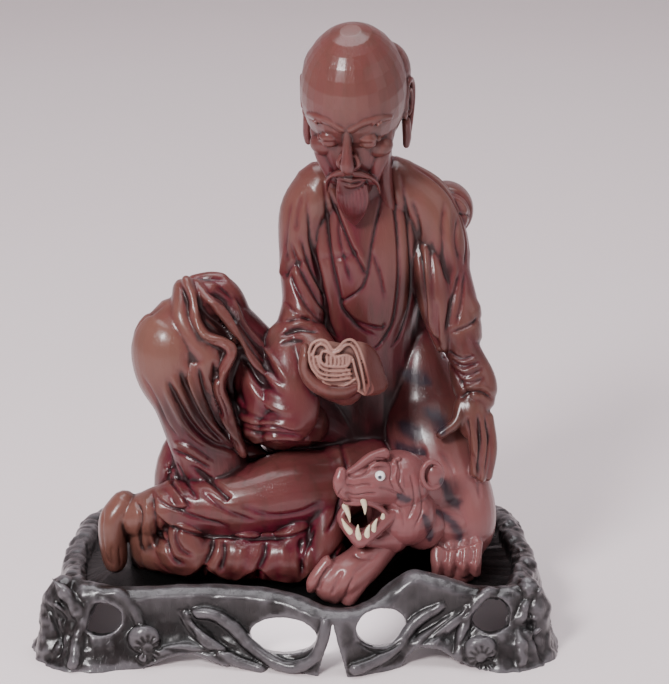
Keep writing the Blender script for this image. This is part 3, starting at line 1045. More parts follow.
# %% [markdown]
# ## From a dense skin to a piece
#
# A carved skin has far more squares than it needs on its smooth parts. Decimation keeps the creases and
# spares the plains. A cut at the recess's floor makes the flat foot.

# %% Finished pieces
MOST_TRIANGLES = 195000


def thinned(name, points, faces, triangles, floor=None):
    """An object of at most the given triangles, cut flat and closed at the floor if there is one."""
    thing = shown(name, mesh_from(name, in_place(points), faces))
    thin = thing.modifiers.new("thin", "DECIMATE")
    thin.ratio = min(1.0, triangles / (2 * len(faces)))
    thin.use_collapse_triangulate = True
    baked = bpy.data.meshes.new_from_object(thing.evaluated_get(bpy.context.evaluated_depsgraph_get()))
    bpy.data.objects.remove(thing)
    if floor is not None:
        work = bmesh.new()
        work.from_mesh(baked)
        everything = work.verts[:] + work.edges[:] + work.faces[:]
        sliced = bmesh.ops.bisect_plane(work, geom=everything, dist=1e-7, plane_co=(0, 0, floor),
                                        plane_no=(0, 0, -1), clear_outer=True)
        rim = [edge for edge in sliced["geom_cut"] if isinstance(edge, bmesh.types.BMEdge)]
        bmesh.ops.triangle_fill(work, use_beauty=True, edges=rim, normal=(0, 0, -1))
        bmesh.ops.triangulate(work, faces=work.faces[:])
        work.to_mesh(baked)
        work.free()
    baked.shade_smooth()
    made = shown(name, baked)
    print(name, len(baked.polygons), "triangles")
    return made


def belongs(piece, slot, *nodes):
    """Says which body the piece rides on, its material slot, and which CAD nodes it stands for."""
    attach(piece, "root")
    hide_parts(*nodes)


carving = thinned("sage_and_tiger", block_points, block_faces, MOST_TRIANGLES, RECESS_FLOOR / MM)
head = thinned("sage_head", head_points, head_faces, MOST_TRIANGLES * 0.7)
tiger_head = thinned("tiger_head", tiger_points, tiger_faces, MOST_TRIANGLES * 0.7)
scroll = thinned("scroll", scroll_points, scroll_faces, MOST_TRIANGLES * 0.5)
for piece in (carving, head, tiger_head, scroll):
    belongs(piece, "rosewood", "figure")

# %% [markdown]
# ## The root-wood stand
#
# The stand's section, a floor, a rim and a flaring skirt, is carried round the recess. Windows are cut
# through the skirt with a Boolean, because a loft can't make a hole. Then root strands, seed heads and
# thorns are laid on, and everything is melted and chiselled.

# %% Sizes and stations of the stand
RIM_WIDTH, FLARE, FLOOR_HEIGHT, RIM_RISE = 12.0, 11.0, 27.0, 9.0     # in millimetres
PLATE_THICKNESS, APRON_WALL = 6.0, 10.0
RECESS_HALF = np.array([105.0, 63.0])
RECESS_MIDDLE = np.array([3.0, -5.0])
# along the rim: across and back, then rim height and lift of the foot as shares of the rise, share of flare
RIM_LINE = [
    (-1.0, -0.50, 1.0, 0.1, 1.2), (-0.97, -0.72, 1.1, -0.3, 1.7), (-0.78, -0.74, 0.9, -0.3, 1.2),
    (-0.56, -0.72, 1.0, 0.6, 0.9), (-0.34, -0.72, 1.0, 0.6, 0.9), (-0.12, -0.76, 0.9, 0.3, 0.9),
    (0.04, -0.84, 0.7, -0.2, 0.8), (0.18, -0.96, 0.4, -0.3, 0.6), (0.31, -0.90, 0.5, -0.3, 0.7),
    (0.42, -0.76, 1.1, 0.4, 0.9), (0.54, -0.70, 1.8, 1.0, 1.0), (0.68, -0.71, 1.5, 1.0, 1.0),
    (0.84, -0.73, 1.0, 0.0, 1.1), (0.98, -0.72, 1.0, -0.3, 1.7), (1.02, -0.50, 1.1, -0.2, 1.2),
    (1.05, -0.15, 1.0, 0.4, 0.7), (1.02, 0.3, 1.0, 0.4, 0.6), (0.98, 0.72, 0.9, -0.2, 0.9),
    (0.84, 0.94, 0.8, -0.3, 0.9), (0.5, 0.98, 0.8, 0.5, 0.6), (0.2, 1.0, 0.9, 0.6, 0.6),
    (-0.2, 0.98, 0.8, 0.6, 0.6),
    (-0.5, 1.0, 0.8, 0.5, 0.6), (-0.82, 0.95, 0.8, -0.3, 0.9), (-0.96, 0.72, 0.8, -0.2, 0.9),
    (-1.0, 0.3, 0.9, 0.4, 0.6), (-1.02, -0.15, 0.9, 0.3, 0.8),
]
# front openings: middle across and height, as shares, then half width and half height
WINDOWS = [(-0.90, 0.84, 10.0, 8.5), (-0.055, 0.58, 16.5, 9.5), (0.40, 0.72, 12.5, 10.0),
           (0.91, 0.90, 9.5, 9.5)]
NOTCH = (0.175, 0.95, 8.0)     # middle across, height of its point, half width at the table
SIDE_WINDOWS = [(-1, 0, 20.0), (1, 0, 18.0), (0, 1, 24.0)]


def ring_through(rows, per_span):
    """Rows read from a smooth closed curve through the given rows."""
    rows = np.asarray(rows, float)
    around = np.vstack([rows[-1:], rows, rows[:2]])
    return through(around, per_span)[per_span:per_span * (len(rows) + 1)]


def rim_stations():
    """Places along the recess's edge, with the outward direction, rim's top, foot's lift and flare there."""
    rows = ring_through(RIM_LINE, 6)
    place = RECESS_MIDDLE + rows[:, :2] * RECESS_HALF
    ahead = np.roll(place, -1, 0) - np.roll(place, 1, 0)
    outward = unit(np.stack([ahead[:, 1], -ahead[:, 0]], -1))
    top = FLOOR_HEIGHT + rows[:, 2] * RIM_RISE
    return place, outward, top, rows[:, 3] * RIM_RISE, rows[:, 4] * FLARE


def front_of_apron(across, height):
    """A point on the front face of the apron, at a share of the half width and a height in mm."""
    place, outward, _, _, flare = rim_stations()
    ahead = (outward[:, 1] < -0.3).nonzero()[0]
    x = RECESS_MIDDLE[0] + across * RECESS_HALF[0]
    at = ahead[np.abs(place[ahead, 0] - x).argmin()]
    out = RIM_WIDTH + flare[at] * np.clip(1 - height / FLOOR_HEIGHT, 0, 1)**1.3
    return np.array([x, place[at, 1] - out, height])


def model_stand(clay):
    """The rim and apron, one section carried round the recess, and the floor between them."""
    place, outward, top, lift, flare = rim_stations()
    floor, rim = FLOOR_HEIGHT, RIM_WIDTH
    plate, wall = PLATE_THICKNESS, APRON_WALL
    one = np.ones(len(top))
    section = [(-3 * one, (floor - plate) * one), (-2 * one, (floor + 1) * one), (0 * one, top - 3),
               (0.25 * rim * one, top), (0.65 * rim * one, top), (rim * one, top - 3),
               (rim + 0.15 * flare, 0.8 * floor * one), (rim + 0.4 * flare, 0.5 * floor * one),
               (rim + 0.8 * flare, lift + 0.15 * floor), (rim + flare, lift),
               (rim + flare - wall, lift), (rim + 0.7 * flare - wall, lift + 0.2 * floor),
               (rim + 0.35 * flare - wall, 0.55 * floor * one),
               ((rim - wall + 1) * one, (floor + 0.5) * one)]
    out = np.array([o for o, _ in section])
    up = np.array([z for _, z in section])
    rows, sides = out.shape
    spots = np.concatenate([place[None] + outward[None] * out[..., None], up[..., None]], -1)
    i, j = np.meshgrid(np.arange(rows), np.arange(sides), indexing="ij")
    a, b = i * sides + j, i * sides + (j + 1) % sides
    c, d = (i + 1) % rows * sides + (j + 1) % sides, (i + 1) % rows * sides + j
    clay.add(spots.reshape(-1, 3), np.stack([a, b, c, d], -1).reshape(-1, 4))
    edge = place + outward * 2
    clay.rings(np.stack([np.column_stack([edge, np.full(len(edge), z)])
                         for z in (floor + 1, floor - plate)]))


def model_openings(clay):
    """The pierced windows, sloping down inwards as the eye looks, and the notch between the middle feet."""
    angle = np.linspace(0, 2 * math.pi, 20, endpoint=False)
    steps = np.array([-14.0, 24.0])[:, None]
    for across, height, half_width, half_height in WINDOWS:
        x, y, z = front_of_apron(across, height * FLOOR_HEIGHT)
        clay.rings(np.stack(np.broadcast_arrays(x + half_width * np.cos(angle), y + steps,
                                                z + half_height * np.sin(angle) - 0.32 * steps), -1))
    across, height, half_width = NOTCH
    x, y, z = front_of_apron(across, height * FLOOR_HEIGHT)
    wedge = np.array([(-half_width, -4.0), (half_width, -4.0), (2.2, 0.65 * z), (0.6, z), (-0.6, z),
                      (-2.2, 0.65 * z)])
    steps = np.array([-26.0, 12.0])[:, None]
    clay.rings(np.stack(np.broadcast_arrays(x + wedge[:, 0], y + steps, wedge[:, 1] - 0.1 * steps), -1))
    for side_x, side_y, half in SIDE_WINDOWS:
        far = np.array([side_x, side_y, 0.0])
        flat = np.array([side_y, -side_x, 0.0])
        middle = np.array([*RECESS_MIDDLE, 0.45 * FLOOR_HEIGHT]) + far * np.array([*RECESS_HALF, 0.0])
        clay.rings(np.array([middle + far * step + flat * half * np.cos(angle)[:, None]
                             + np.array([0, 0, 6.5]) * np.sin(angle)[:, None] for step in (-6, 40)]))


def model_roots(clay):
    """Root strands, seed heads and thorns on the front of the apron."""
    strands = [
        [(-0.50, 24, 0, 2.4), (-0.40, 25, 2, 3.0), (-0.30, 20, 2, 3.2), (-0.22, 12, 2, 3.2),
         (-0.13, 6, 2, 3.2),
         (-0.02, 3, 2, 3.2), (0.08, 8, 2, 3.2), (0.13, 18, 1, 3.0), (0.14, 26, 0, 2.6)],
        [(-0.50, 22, 0, 2.2), (-0.42, 14, 1, 3.0), (-0.30, 5, 2, 3.0), (-0.16, 1, 2, 2.6)],
        [(-0.66, 7, 1, 2.0), (-0.50, 9, 1, 2.4), (-0.32, 3, 1, 2.2)],
        [(0.28, 4, 1, 3.0), (0.37, 6, 2, 3.0), (0.47, 10, 2, 3.0), (0.56, 20, 1, 3.0), (0.68, 28, 0, 2.6)],
        [(0.50, 8, 0, 2.4), (0.62, 14, 1, 2.8), (0.74, 22, 1, 2.8), (0.80, 27, 0, 2.4)],
        [(-1.02, 4, 0, 3.0), (-1.00, 16, 0, 3.0), (-0.94, 31, -3, 3.6), (-0.80, 32, -3, 3.4),
         (-0.72, 20, 0, 3.0),
         (-0.70, 6, 1, 3.0)],
        [(0.76, 6, 1, 3.0), (0.80, 22, 0, 2.8), (0.88, 33, -3, 3.2), (0.99, 30, -3, 3.2),
         (1.03, 16, 0, 3.0),
         (1.05, 4, 0, 3.0)],
    ]
    for strand in strands:
        rows = through([(*(front_of_apron(a, z) + (0, -out, 0)), r) for a, z, out, r in strand], 5)
        clay.loft(rows[:, :3], rows[:, 3], rows[:, 3])
    for side in (-1, 1):
        foot = np.array([*(RECESS_MIDDLE + RECESS_HALF * (side, -0.72) + (14 * side, -9)), -2.0])
        rows = np.array([foot, foot + (-2 * side, 3, 14), foot + (-1 * side, 5, 26),
                         foot + (-4 * side, 6, 34)])
        clay.loft(rows, np.array([11.0, 9.0, 8.5, 7.0]), np.array([10.0, 8.0, 8.0, 7.0]))
    for across, height in ((-0.70, 13.0), (0.86, 8.5)):
        clay.ball(front_of_apron(across, height) + (0, -1, 0), (8, 4.5, 8))
    for across, height in ((-1.04, 30.0), (1.06, 24.0)):
        base = front_of_apron(across, height)
        way = np.array([math.copysign(1.0, across) * 9, 2.0, 11.0])
        thick = np.array([5.0, 3.0, 1.0])
        clay.loft(np.array([base - 0.4 * way, base + 0.4 * way, base + way]), thick, thick)
    for across, height, way in ((-1.03, 22.0, (-9, -3, 7)), (1.05, 12.0, (9, -3, 6)),
                                (1.04, 20.0, (8, -4, 2))):
        base = front_of_apron(across, height) + (0, 3, 0)
        thick = np.array([4.0, 2.4, 0.8])
        clay.loft(base + np.array([0.0, 0.5, 1.0])[:, None] * np.array(way, float), thick, thick)


# %% Chiselling the stand
def bumps(points, size, seed):
    """Smooth noise in -1..1: random values on a cubic lattice of the given size, blended in between."""
    values = np.random.default_rng(seed).uniform(-1, 1, (64, 64, 64))
    spot = points / size + 1000
    cell = np.floor(spot).astype(int)
    part = spot - cell
    part = part * part * (3 - 2 * part)
    total = np.zeros(len(points))
    for corner in np.ndindex(2, 2, 2):
        share = np.prod(np.where(corner, part, 1 - part), axis=1)
        x, y, z = ((cell + corner) % 64).T
        total += share * values[x, y, z]
    return total


def pierced_blank():
    """Rim, floor and skirt with the windows cut through: corner points and faces."""
    clay, openings = Clay(), Clay(20)
    model_stand(clay)
    model_openings(openings)
    points, faces = melted(clay, 1.2, 1)
    blank = shown("blank", mesh_from("blank", points, faces))
    tool = shown("openings", mesh_from("openings", *openings.gathered()))
    outward_facing(tool)
    work = blank.modifiers.new("pierce", "BOOLEAN")
    work.operation = "DIFFERENCE"
    work.solver = "EXACT"
    work.object = tool
    tris = blank.modifiers.new("triangles", "TRIANGULATE")
    tris.min_vertices = 4
    pierced = blank.evaluated_get(bpy.context.evaluated_depsgraph_get()).data
    points, faces = read_points(pierced), read_faces(pierced, 3)
    for used in (blank, tool):
        bpy.data.objects.remove(used)
    return points, np.column_stack([faces, faces[:, 2]])


def levelled(points):
    """The recess's floor, flat: whatever stands inside the rim's edge comes down to the floor's height."""
    place, outward = rim_stations()[:2]
    low = ((points[:, 2] > FLOOR_HEIGHT) & (points[:, 2] < FLOOR_HEIGHT + 20)).nonzero()[0]
    off = points[low][:, None, :2] - place[None]
    nearest = (off**2).sum(-1).argmin(1)
    inside = (off[np.arange(len(low)), nearest] * outward[nearest]).sum(-1) < -0.6
    points = points.copy()
    points[low[inside], 2] = FLOOR_HEIGHT
    return points


def build_stand():
    """The pierced blank and its roots, melted, chiselled in front, and rockier at the sides and back."""
    clay = Clay()
    clay.add(*pierced_blank())
    model_roots(clay)
    points, faces = melted(clay, VOXEL * 1.1, 2)
    print("stand:", len(faces), "squares")
    points = carve(points, faces, STAND_LINES)
    normals = normals_of(points, faces)
    side = np.clip((np.abs(points[:, 0] - 3) - 80) / 30, 0, 1) + np.clip((points[:, 1] - 20) / 30, 0, 1)
    rough = 0.45 + 1.1 * np.clip(side, 0, 1)
    level = (np.abs(normals[:, 2]) > 0.9) & (points[:, 2] < 30)
    shift = (0.9 * bumps(points, 12.0, 1) + 0.6 * bumps(points, 6.0, 2)
             + 0.35 * bumps(points, 2.8, 3)) * rough
    shift[level] = 0
    points = levelled(points + normals * shift[:, None])
    low, high = (np.array(corner) * MM for corner in cad_box)
    keep = (np.array([*(low[:2] + STAND_MIDDLE + 0.1), -50.0]),
            np.array([*(high[:2] + STAND_MIDDLE - 0.1), 400.0]))
    return np.clip(points, *keep), faces


def seed_head(across, up):
    """Twelve grooves from a seed head's middle outwards, drawn: middle + reach x (cos a, sin a)."""
    return [(-0.9, 0.7, 0,
             [(across + reach * math.cos(a), up + reach * math.sin(a)) for reach in SEED_GROOVE])
            for a in np.arange(12) * math.pi / 6]


SEED_GROOVE = (2.4, 4.8, 7.2)           # where each groove of a seed head starts, bends and ends
STAND_LINES = [
    # the rim's inner edge, and the groove along its crown
    (-0.9, 1.2, 0, [(-106, 54), (-95, 51), (-80, 50), (-60, 52), (-40, 50), (-10, 48), (5, 45), (16, 41)]),
    (-0.9, 1.2, 0, [(30, 41), (40, 50), (52, 58), (65, 59), (80, 54), (95, 48)]),
    # leaf folds on the apron
    (-1.2, 1.2, 0, [(-52, 38), (-45, 27), (-25, 13)]),
    (-1.0, 1.1, 0, [(-65, 16), (-45, 14), (-25, 16)]),
    (1.0, 1.2, 0, [(-56, 36), (-50, 25), (-38, 14)]),
    (-1.2, 1.2, 0, [(64, 16), (75, 27), (88, 37)]),
    (1.0, 1.2, 0, [(68, 14), (80, 26), (93, 35)]),
    (-1.2, 1.2, 0, [(33, 20), (45, 15), (57, 20)]),
    (-1.0, 1.1, 0, [(84, 16), (92, 28), (98, 38)]),
    (-1.2, 1.4, 0, [(-124, 40), (-118, 30), (-114, 18), (-118, 8)]),
    (-1.2, 1.4, 0, [(124, 46), (120, 34), (122, 20), (128, 8)]),
] + seed_head(-71, 16) + seed_head(96, 11)

stand_points, stand_faces = build_stand()
stand = thinned("root_stand", stand_points + (0, 0, DRAWN_FLOOR - RECESS_FLOOR), stand_faces,
                MOST_TRIANGLES, 0.0)
belongs(stand, "root_wood", "stand")

# %% [markdown]
# ## Inlaid eyes and teeth
#
# The eyes are white beads with a dark pupil. They replace the CAD beads with smoother ones in the same
# places. The teeth are bone pegs. A pupil could be a separate disc, but a painted one stays on the bead.

# %% Beads and pegs
def bead(name, node, aim):
    """A ball the size of the CAD bead, its poles turned along the way the eye looks."""
    low, high = (np.array(corner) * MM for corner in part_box(node))
    middle, radius = (low + high) / 2, (high - low).max() / 2
    aim = unit(np.asarray(aim, float))
    side = unit(np.cross(aim, (0, 0, 1)))
    clay = Clay(32)
    clay.ball(middle + FRAME_OFFSET, (radius, radius, radius), np.array([side, np.cross(side, aim), aim]))
    points, faces = clay.gathered()
    made = shown(name, mesh_from(name, in_place(points), faces))
    outward_facing(made)
    made.data.shade_smooth()
    keep_number(made.data, "look", unit(read_points(made.data) - middle / MM) @ aim)
    return made


def peg(name, root, tip, radius=1.55):
    """A tooth from root to tip: a round section that narrows by 1 - 0.8 x share to the power 1.6."""
    way = seen(*tip) - seen(*root)
    steps = np.linspace(0, 1, 12)
    bow = np.sin(math.pi * steps)[:, None] * unit(np.cross(way, SIGHT)) * 0.35
    clay = Clay(20)
    thick = radius * (1 - 0.8 * steps**1.6)
    clay.loft(seen(*root) + way * steps[:, None] + bow, thick, thick)
    points, faces = clay.gathered()
    made = shown(name, mesh_from(name, in_place(points), faces))
    outward_facing(made)
    made.data.shade_smooth()
    return made


TEETH = {
    "tooth_upper": [(36.5, 90.0, -56.0), (37.5, 83.0, -56.5)],
    "tooth_far_upper": [(27.5, 87.0, -52.0), (30.0, 79.0, -53.5)],
    "tooth_far_lower": [(30.2, 74.0, -57.0), (26.0, 80.5, -55.0)],
    "tooth_middle": [(34.4, 71.0, -58.5), (34.0, 77.5, -57.5)],
    "tooth_near_front": [(38.4, 72.0, -57.5), (39.8, 77.5, -56.8)],
    "tooth_near_middle": [(41.5, 74.5, -55.0), (43.5, 80.5, -54.5)],
    "tooth_near_back": [(46.5, 78.0, -50.5), (47.0, 84.5, -50.0)],
}
teeth = {}
for node, (root, tip) in TEETH.items():
    teeth[node] = peg("inlaid_" + node, root, tip)
    belongs(teeth[node], "bone", node)
READING = HEAD[1] - 0.35 * HEAD[2]
LOOKS = {"man_eye_left": READING, "man_eye_right": READING,
         "tiger_eye_left": (-0.05, -1.0, 0.1), "tiger_eye_right": (-0.75, -0.2, 0.3)}
eyes = {}
for node, aim in LOOKS.items():
    eyes[node] = bead("inlaid_" + node, node, aim)
    belongs(eyes[node], "man_eye" if node.startswith("man") else "tiger_eye", node)
print("eyes", [len(eye.data.polygons) for eye in eyes.values()])

# %% [markdown]
# ## Where the polish has worn, and where the stain has settled
#
# On a handled carving the crests are rubbed light and glossy, and the valleys stay dark and dull. A
# renderer's pointiness depends on its mesh and isn't exported, so the hollows are measured here: a valley
# lies inside the skin's own average. The result is kept as a number on every corner.

# %% Numbers on the corners
def averaged(values, ends, times):
    """Each corner's values replaced by the mean over its neighbours, so many times."""
    count = np.bincount(ends.ravel(), minlength=len(values)).astype(float)[:, None]
    for _ in range(times):
        total = np.zeros_like(values)
        for k in range(values.shape[1]):
            total[:, k] = (np.bincount(ends[:, 0], values[ends[:, 1], k], len(values))
                           + np.bincount(ends[:, 1], values[ends[:, 0], k], len(values)))
        values = 0.5 * values + 0.5 * total / np.maximum(count, 1)
    return values


def measure_hollows(piece, wide=60):
    """How far each corner lies inside the average of its surroundings, along its normal, in millimetres."""
    mesh = piece.data
    points = read_points(mesh) * MM
    ends = np.empty(len(mesh.edges) * 2, np.int32)
    mesh.edges.foreach_get("vertices", ends)
    ends = ends.reshape(-1, 2)
    normals = np.empty(len(points) * 3, np.float32)
    mesh.vertex_normals.foreach_get("vector", normals)
    normals = normals.reshape(-1, 3).astype(float)
    near = ((averaged(points, ends, 4) - points) * normals).sum(1)
    far = ((averaged(points, ends, wide) - points) * normals).sum(1)
    hollow = averaged(np.clip(near / 0.25, -1, 1)[:, None] * 0.5 + np.clip(far / 1.6, -1, 1)[:, None] * 0.7,
                      ends, 2)
    keep_number(mesh, "hollow", np.clip(hollow[:, 0], -1, 1))


def spots_of(points, spots):
    """The strongest of several soft round spots at each point: exp(-(distance / radius) squared)."""
    total = np.zeros(len(points))
    for centre, radius, strength in spots:
        total = np.maximum(total, strength * np.exp(-(((points - centre) / radius)**2).sum(1)))
    return total


# rubbed places: drawn place in space, reach in millimetres, strength
RUBBED = [
    (seen(32, 305, -20), 48, 0.6), (seen(-62, 168, -25), 34, 0.6), (seen(6, 232, -6), 26, 0.45),
    (seen(72, 232, 0), 34, 0.6), (seen(84, 180, -6), 24, 0.45), (seen(94, 130, -16), 26, 0.5),
    (seen(-88, 74, -30), 20, 0.4), (seen(14, 160, -36), 18, 0.45), (seen(90, 92, -22), 26, 0.35),
    (seen(60, 90, -44), 26, 0.25), (seen(-88, 74, -34), 24, 1.3), (seen(-44, 66, -44), 12, 0.4),
]
for piece in (carving, head, tiger_head, scroll, stand):
    measure_hollows(piece)
# places no hand or cloth reaches, where the stain has pooled
POOLED = [
    (seen(36, 136, -8), 15, 1.0), (seen(24, 134, -6), 12, 0.8), (seen(63, 195, -2), 9, 0.9),
    (seen(61, 178, -4), 9, 0.9),
    (seen(-30, 176, -12), 10, 0.9), (seen(-24, 164, -14), 9, 0.9), (seen(-12, 160, -4), 9, 0.85),
    (seen(-22, 182, -2), 9, 0.8), (seen(-12, 122, -18), 8, 0.6), (seen(8, 121, -16), 8, 0.6),
    (seen(50, 118, -16), 9, 0.6), (seen(-40, 100, -22), 7, 0.5),
    (seen(-46, 132, -30), 16, 0.85), (seen(-36, 120, -30), 14, 0.8), (seen(66, 146, -12), 26, 0.8),
    (seen(14, 108, -34), 12, 0.35), (seen(71.4, 102.5, -43), 4.5, 0.9), (seen(27, 96.5, -60), 2.2, 0.8),
    (seen(40, 79, -44), 7, 0.9),
] + [(seen(x, 45, -26), 8, 0.95) for x in range(-70, 16, 9)]


def nearness(points, cores):
    """The least of distance over thickness, from each point to the middles of the given lofts."""
    least = np.full(len(points), np.inf)
    for *centre, thickness in cores:
        least = np.minimum(least, ((points - centre)**2).sum(1) / thickness**2)
    return np.sqrt(least)


man_clay, beast_clay = Clay(), Clay()
model_man(man_clay)
model_tiger_body(beast_clay)
for piece in (carving, head, tiger_head, scroll):
    places = read_points(piece.data) * MM + FRAME_OFFSET
    keep_number(piece.data, "rubbed", spots_of(places, RUBBED))
    keep_number(piece.data, "pooled",
                np.maximum(spots_of(places, POOLED), np.clip((31.5 - places[:, 2]) / 3, 0, 0.9)))
    beast = np.full(len(places), float(piece is tiger_head))
    if piece is carving:
        beast = np.clip((nearness(places, man_clay.cores) - nearness(places, beast_clay.cores)) * 8 + 0.5,
                        0, 1)
        beast *= np.clip((130 - drawn(places)[:, 1]) / 28, 0.1, 1)
    keep_number(piece.data, "beast", beast)
    keep_number(piece.data, "rolled", np.clip((places[:, 0] - 35.5) / 2.5, 0, 1) * (piece is scroll))
print("hollows measured")

# %% [markdown]
# ## The tiger's painted stripes
#
# The stripes are thin blue-black paint, so they are colour and not carving. Each is a drawn line again,
# cast onto the skin, and the paint is strongest near it.

# %% Paint along lines
STRIPES = [
    (2.6, [(75.5, 100), (78, 96), (80, 91), (83, 88.5), (85.5, 88.5)]),
    (2.4, [(73, 84.5), (77, 82), (81, 79), (84, 74), (85, 70)]),
    (2.2, [(67, 82), (69.5, 76), (70, 70)]),
    (4.0, [(58, 153), (64, 151), (69, 149)]),
    (4.0, [(56, 128), (61, 124), (66, 122)]),
    (3.4, [(70, 135), (74, 130), (76, 124)]),
    (3.0, [(52, 118), (60, 114), (67, 113.5)]),
    (2.0, [(54, 92.5), (57, 90.5), (60, 90)]),
]


def paint(piece, stripes):
    """The strongest stripe at each corner, fading past its half width."""
    points = read_points(piece.data) * MM + FRAME_OFFSET
    tree = BVHTree.FromPolygons(points.tolist(), read_faces(piece.data, 3).tolist())
    total = np.zeros(len(points))
    for half, line in stripes:
        spots, share, _ = cast(tree, line, from_front)
        if len(spots) < 3:
            continue
        near = ((points > spots.min(0) - 3 * half) & (points < spots.max(0) + 3 * half)).all(1).nonzero()[0]
        away, along = to_line(points[near], spots)
        share = np.interp(along, np.arange(len(share)), share)
        ends = np.clip(np.minimum(share, 1 - share) * 4 + 0.5, 0, 1)
        total[near] = np.maximum(total[near], 1 / (1 + (away / (half * ends))**6))
    keep_number(piece.data, "paint", total)


for piece in (carving, tiger_head):
    paint(piece, STRIPES)
for piece in (head, scroll):
    keep_number(piece.data, "paint", np.zeros(len(piece.data.vertices)))

# %% [markdown]
# ## Wood as a shader
#
# Both woods need grain, and both need wear. So each effect is a node group, built once. The grain is
# noise stretched along the block's height, with finer pores over it. The groups put out only a mask or a
# height, and the Principled BSDF stays in each material.

# %% Node groups
def group(name, inputs, outputs):
    """An empty shader group with the given sockets, and its input and output nodes."""
    made = bpy.data.node_groups.new(name, "ShaderNodeTree")
    for label, kind, value in inputs:
        socket = made.interface.new_socket(label, in_out="INPUT", socket_type=kind)
        if value is not None:
            socket.default_value = value
    for label, kind in outputs:
        made.interface.new_socket(label, in_out="OUTPUT", socket_type=kind)
    return made, made.nodes.new("NodeGroupInput"), made.nodes.new("NodeGroupOutput")


def math_node(tree, operation, a, b=None, clamp=False):
    """A Math node; a and b are sockets or plain numbers."""
    node = tree.nodes.new("ShaderNodeMath")
    node.operation = operation
    node.use_clamp = clamp
    for index, value in enumerate((a, b)):
        if value is None:
            continue
        if isinstance(value, (int, float)):
            node.inputs[index].default_value = value
        else:
            tree.links.new(value, node.inputs[index])
    return node.outputs[0]


def grain_group():
    """Streaks: noise on coordinates squeezed along Z. Pores: finer noise, squeezed harder and cut off."""
    made, given, result = group(
        "wood grain", [("Vector", "NodeSocketVector", None), ("Scale", "NodeSocketFloat", 60.0)],
        [("Streak", "NodeSocketFloat"), ("Pore", "NodeSocketFloat"), ("Cloud", "NodeSocketFloat")])
    squeeze = made.nodes.new("ShaderNodeVectorMath")
    squeeze.operation = "MULTIPLY"
    squeeze.inputs[1].default_value = (1.0, 1.0, 0.16)
    made.links.new(given.outputs["Vector"], squeeze.inputs[0])
    values = {}
    for label, factor, detail, warp in (("Streak", 1.0, 4.0, 0.6), ("Pore", 9.0, 2.0, 0.0)):
        noise = made.nodes.new("ShaderNodeTexNoise")
        noise.inputs["Detail"].default_value = detail
        noise.inputs["Distortion"].default_value = warp
        made.links.new(squeeze.outputs[0], noise.inputs["Vector"])
        made.links.new(math_node(made, "MULTIPLY", given.outputs["Scale"], factor), noise.inputs["Scale"])
        values[label] = noise.outputs["Fac"]
    cloud = made.nodes.new("ShaderNodeTexNoise")
    cloud.inputs["Scale"].default_value = 22.0
    cloud.inputs["Detail"].default_value = 3.0
    made.links.new(given.outputs["Vector"], cloud.inputs["Vector"])
    pores = made.nodes.new("ShaderNodeMapRange")
    pores.inputs["From Min"].default_value = 0.56
    pores.inputs["From Max"].default_value = 0.72
    made.links.new(values["Pore"], pores.inputs["Value"])
    made.links.new(values["Streak"], result.inputs["Streak"])
    made.links.new(pores.outputs[0], result.inputs["Pore"])
    made.links.new(cloud.outputs["Fac"], result.inputs["Cloud"])
    return made


def wear_group():
    """Hollow below zero is a crest and above zero a valley: one mask for each, scaled and clamped."""
    made, given, result = group(
        "wear and stain", [("Hollow", "NodeSocketFloat", 0.0), ("Rubbed", "NodeSocketFloat", 0.0),
                           ("Crest", "NodeSocketFloat", 1.4), ("Valley", "NodeSocketFloat", 2.3)],
        [("Worn", "NodeSocketFloat"), ("Stained", "NodeSocketFloat")])
    crest = math_node(made, "MULTIPLY", math_node(made, "MULTIPLY", given.outputs["Hollow"], -1.0),
                      given.outputs["Crest"], clamp=True)
    lit = math_node(made, "ADD", math_node(made, "MULTIPLY", crest, 0.45), given.outputs["Rubbed"],
                    clamp=True)
    valley = math_node(made, "MULTIPLY", given.outputs["Hollow"], given.outputs["Valley"], clamp=True)
    made.links.new(lit, result.inputs["Worn"])
    made.links.new(valley, result.inputs["Stained"])
    return made


GRAIN, WEAR = grain_group(), wear_group()
print("groups", GRAIN.name, "and", WEAR.name)

# %% [markdown]
# ## Rosewood
#
# The block is wine red, browner where it is rubbed and near black-red in the valleys, under a hard polish.
# The tiger's stripes are mixed in last, because they lie on top of the stain.

# %% The wood materials
def colour_mix(tree, share, a, b):
    """Colour a where the mask is 0 and b where it is 1."""
    node = tree.nodes.new("ShaderNodeMix")
    node.data_type = "RGBA"
    factor, first, second = node.inputs[0], node.inputs[6], node.inputs[7]
    tree.links.new(share, factor)
    for value, socket in ((a, first), (b, second)):
        if isinstance(value, tuple):
            socket.default_value = (*value, 1.0)
        else:
            tree.links.new(value, socket)
    return node.outputs[2]


def above(tree, value, start, slope):
    """0 up to the start, then rising at the slope until 1: (value - start) x slope, clamped."""
    return math_node(tree, "MULTIPLY", math_node(tree, "SUBTRACT", value, start), slope, clamp=True)


def number_from(tree, name):
    """A number kept on the corners."""
    node = tree.nodes.new("ShaderNodeAttribute")
    node.attribute_name = name
    return node.outputs["Fac"]


def use_group(tree, made, **values):
    """A group node with some of its inputs set or linked."""
    node = tree.nodes.new("ShaderNodeGroup")
    node.node_tree = made
    for label, value in values.items():
        if isinstance(value, (int, float)):
            node.inputs[label].default_value = value
        else:
            tree.links.new(value, node.inputs[label])
    return node


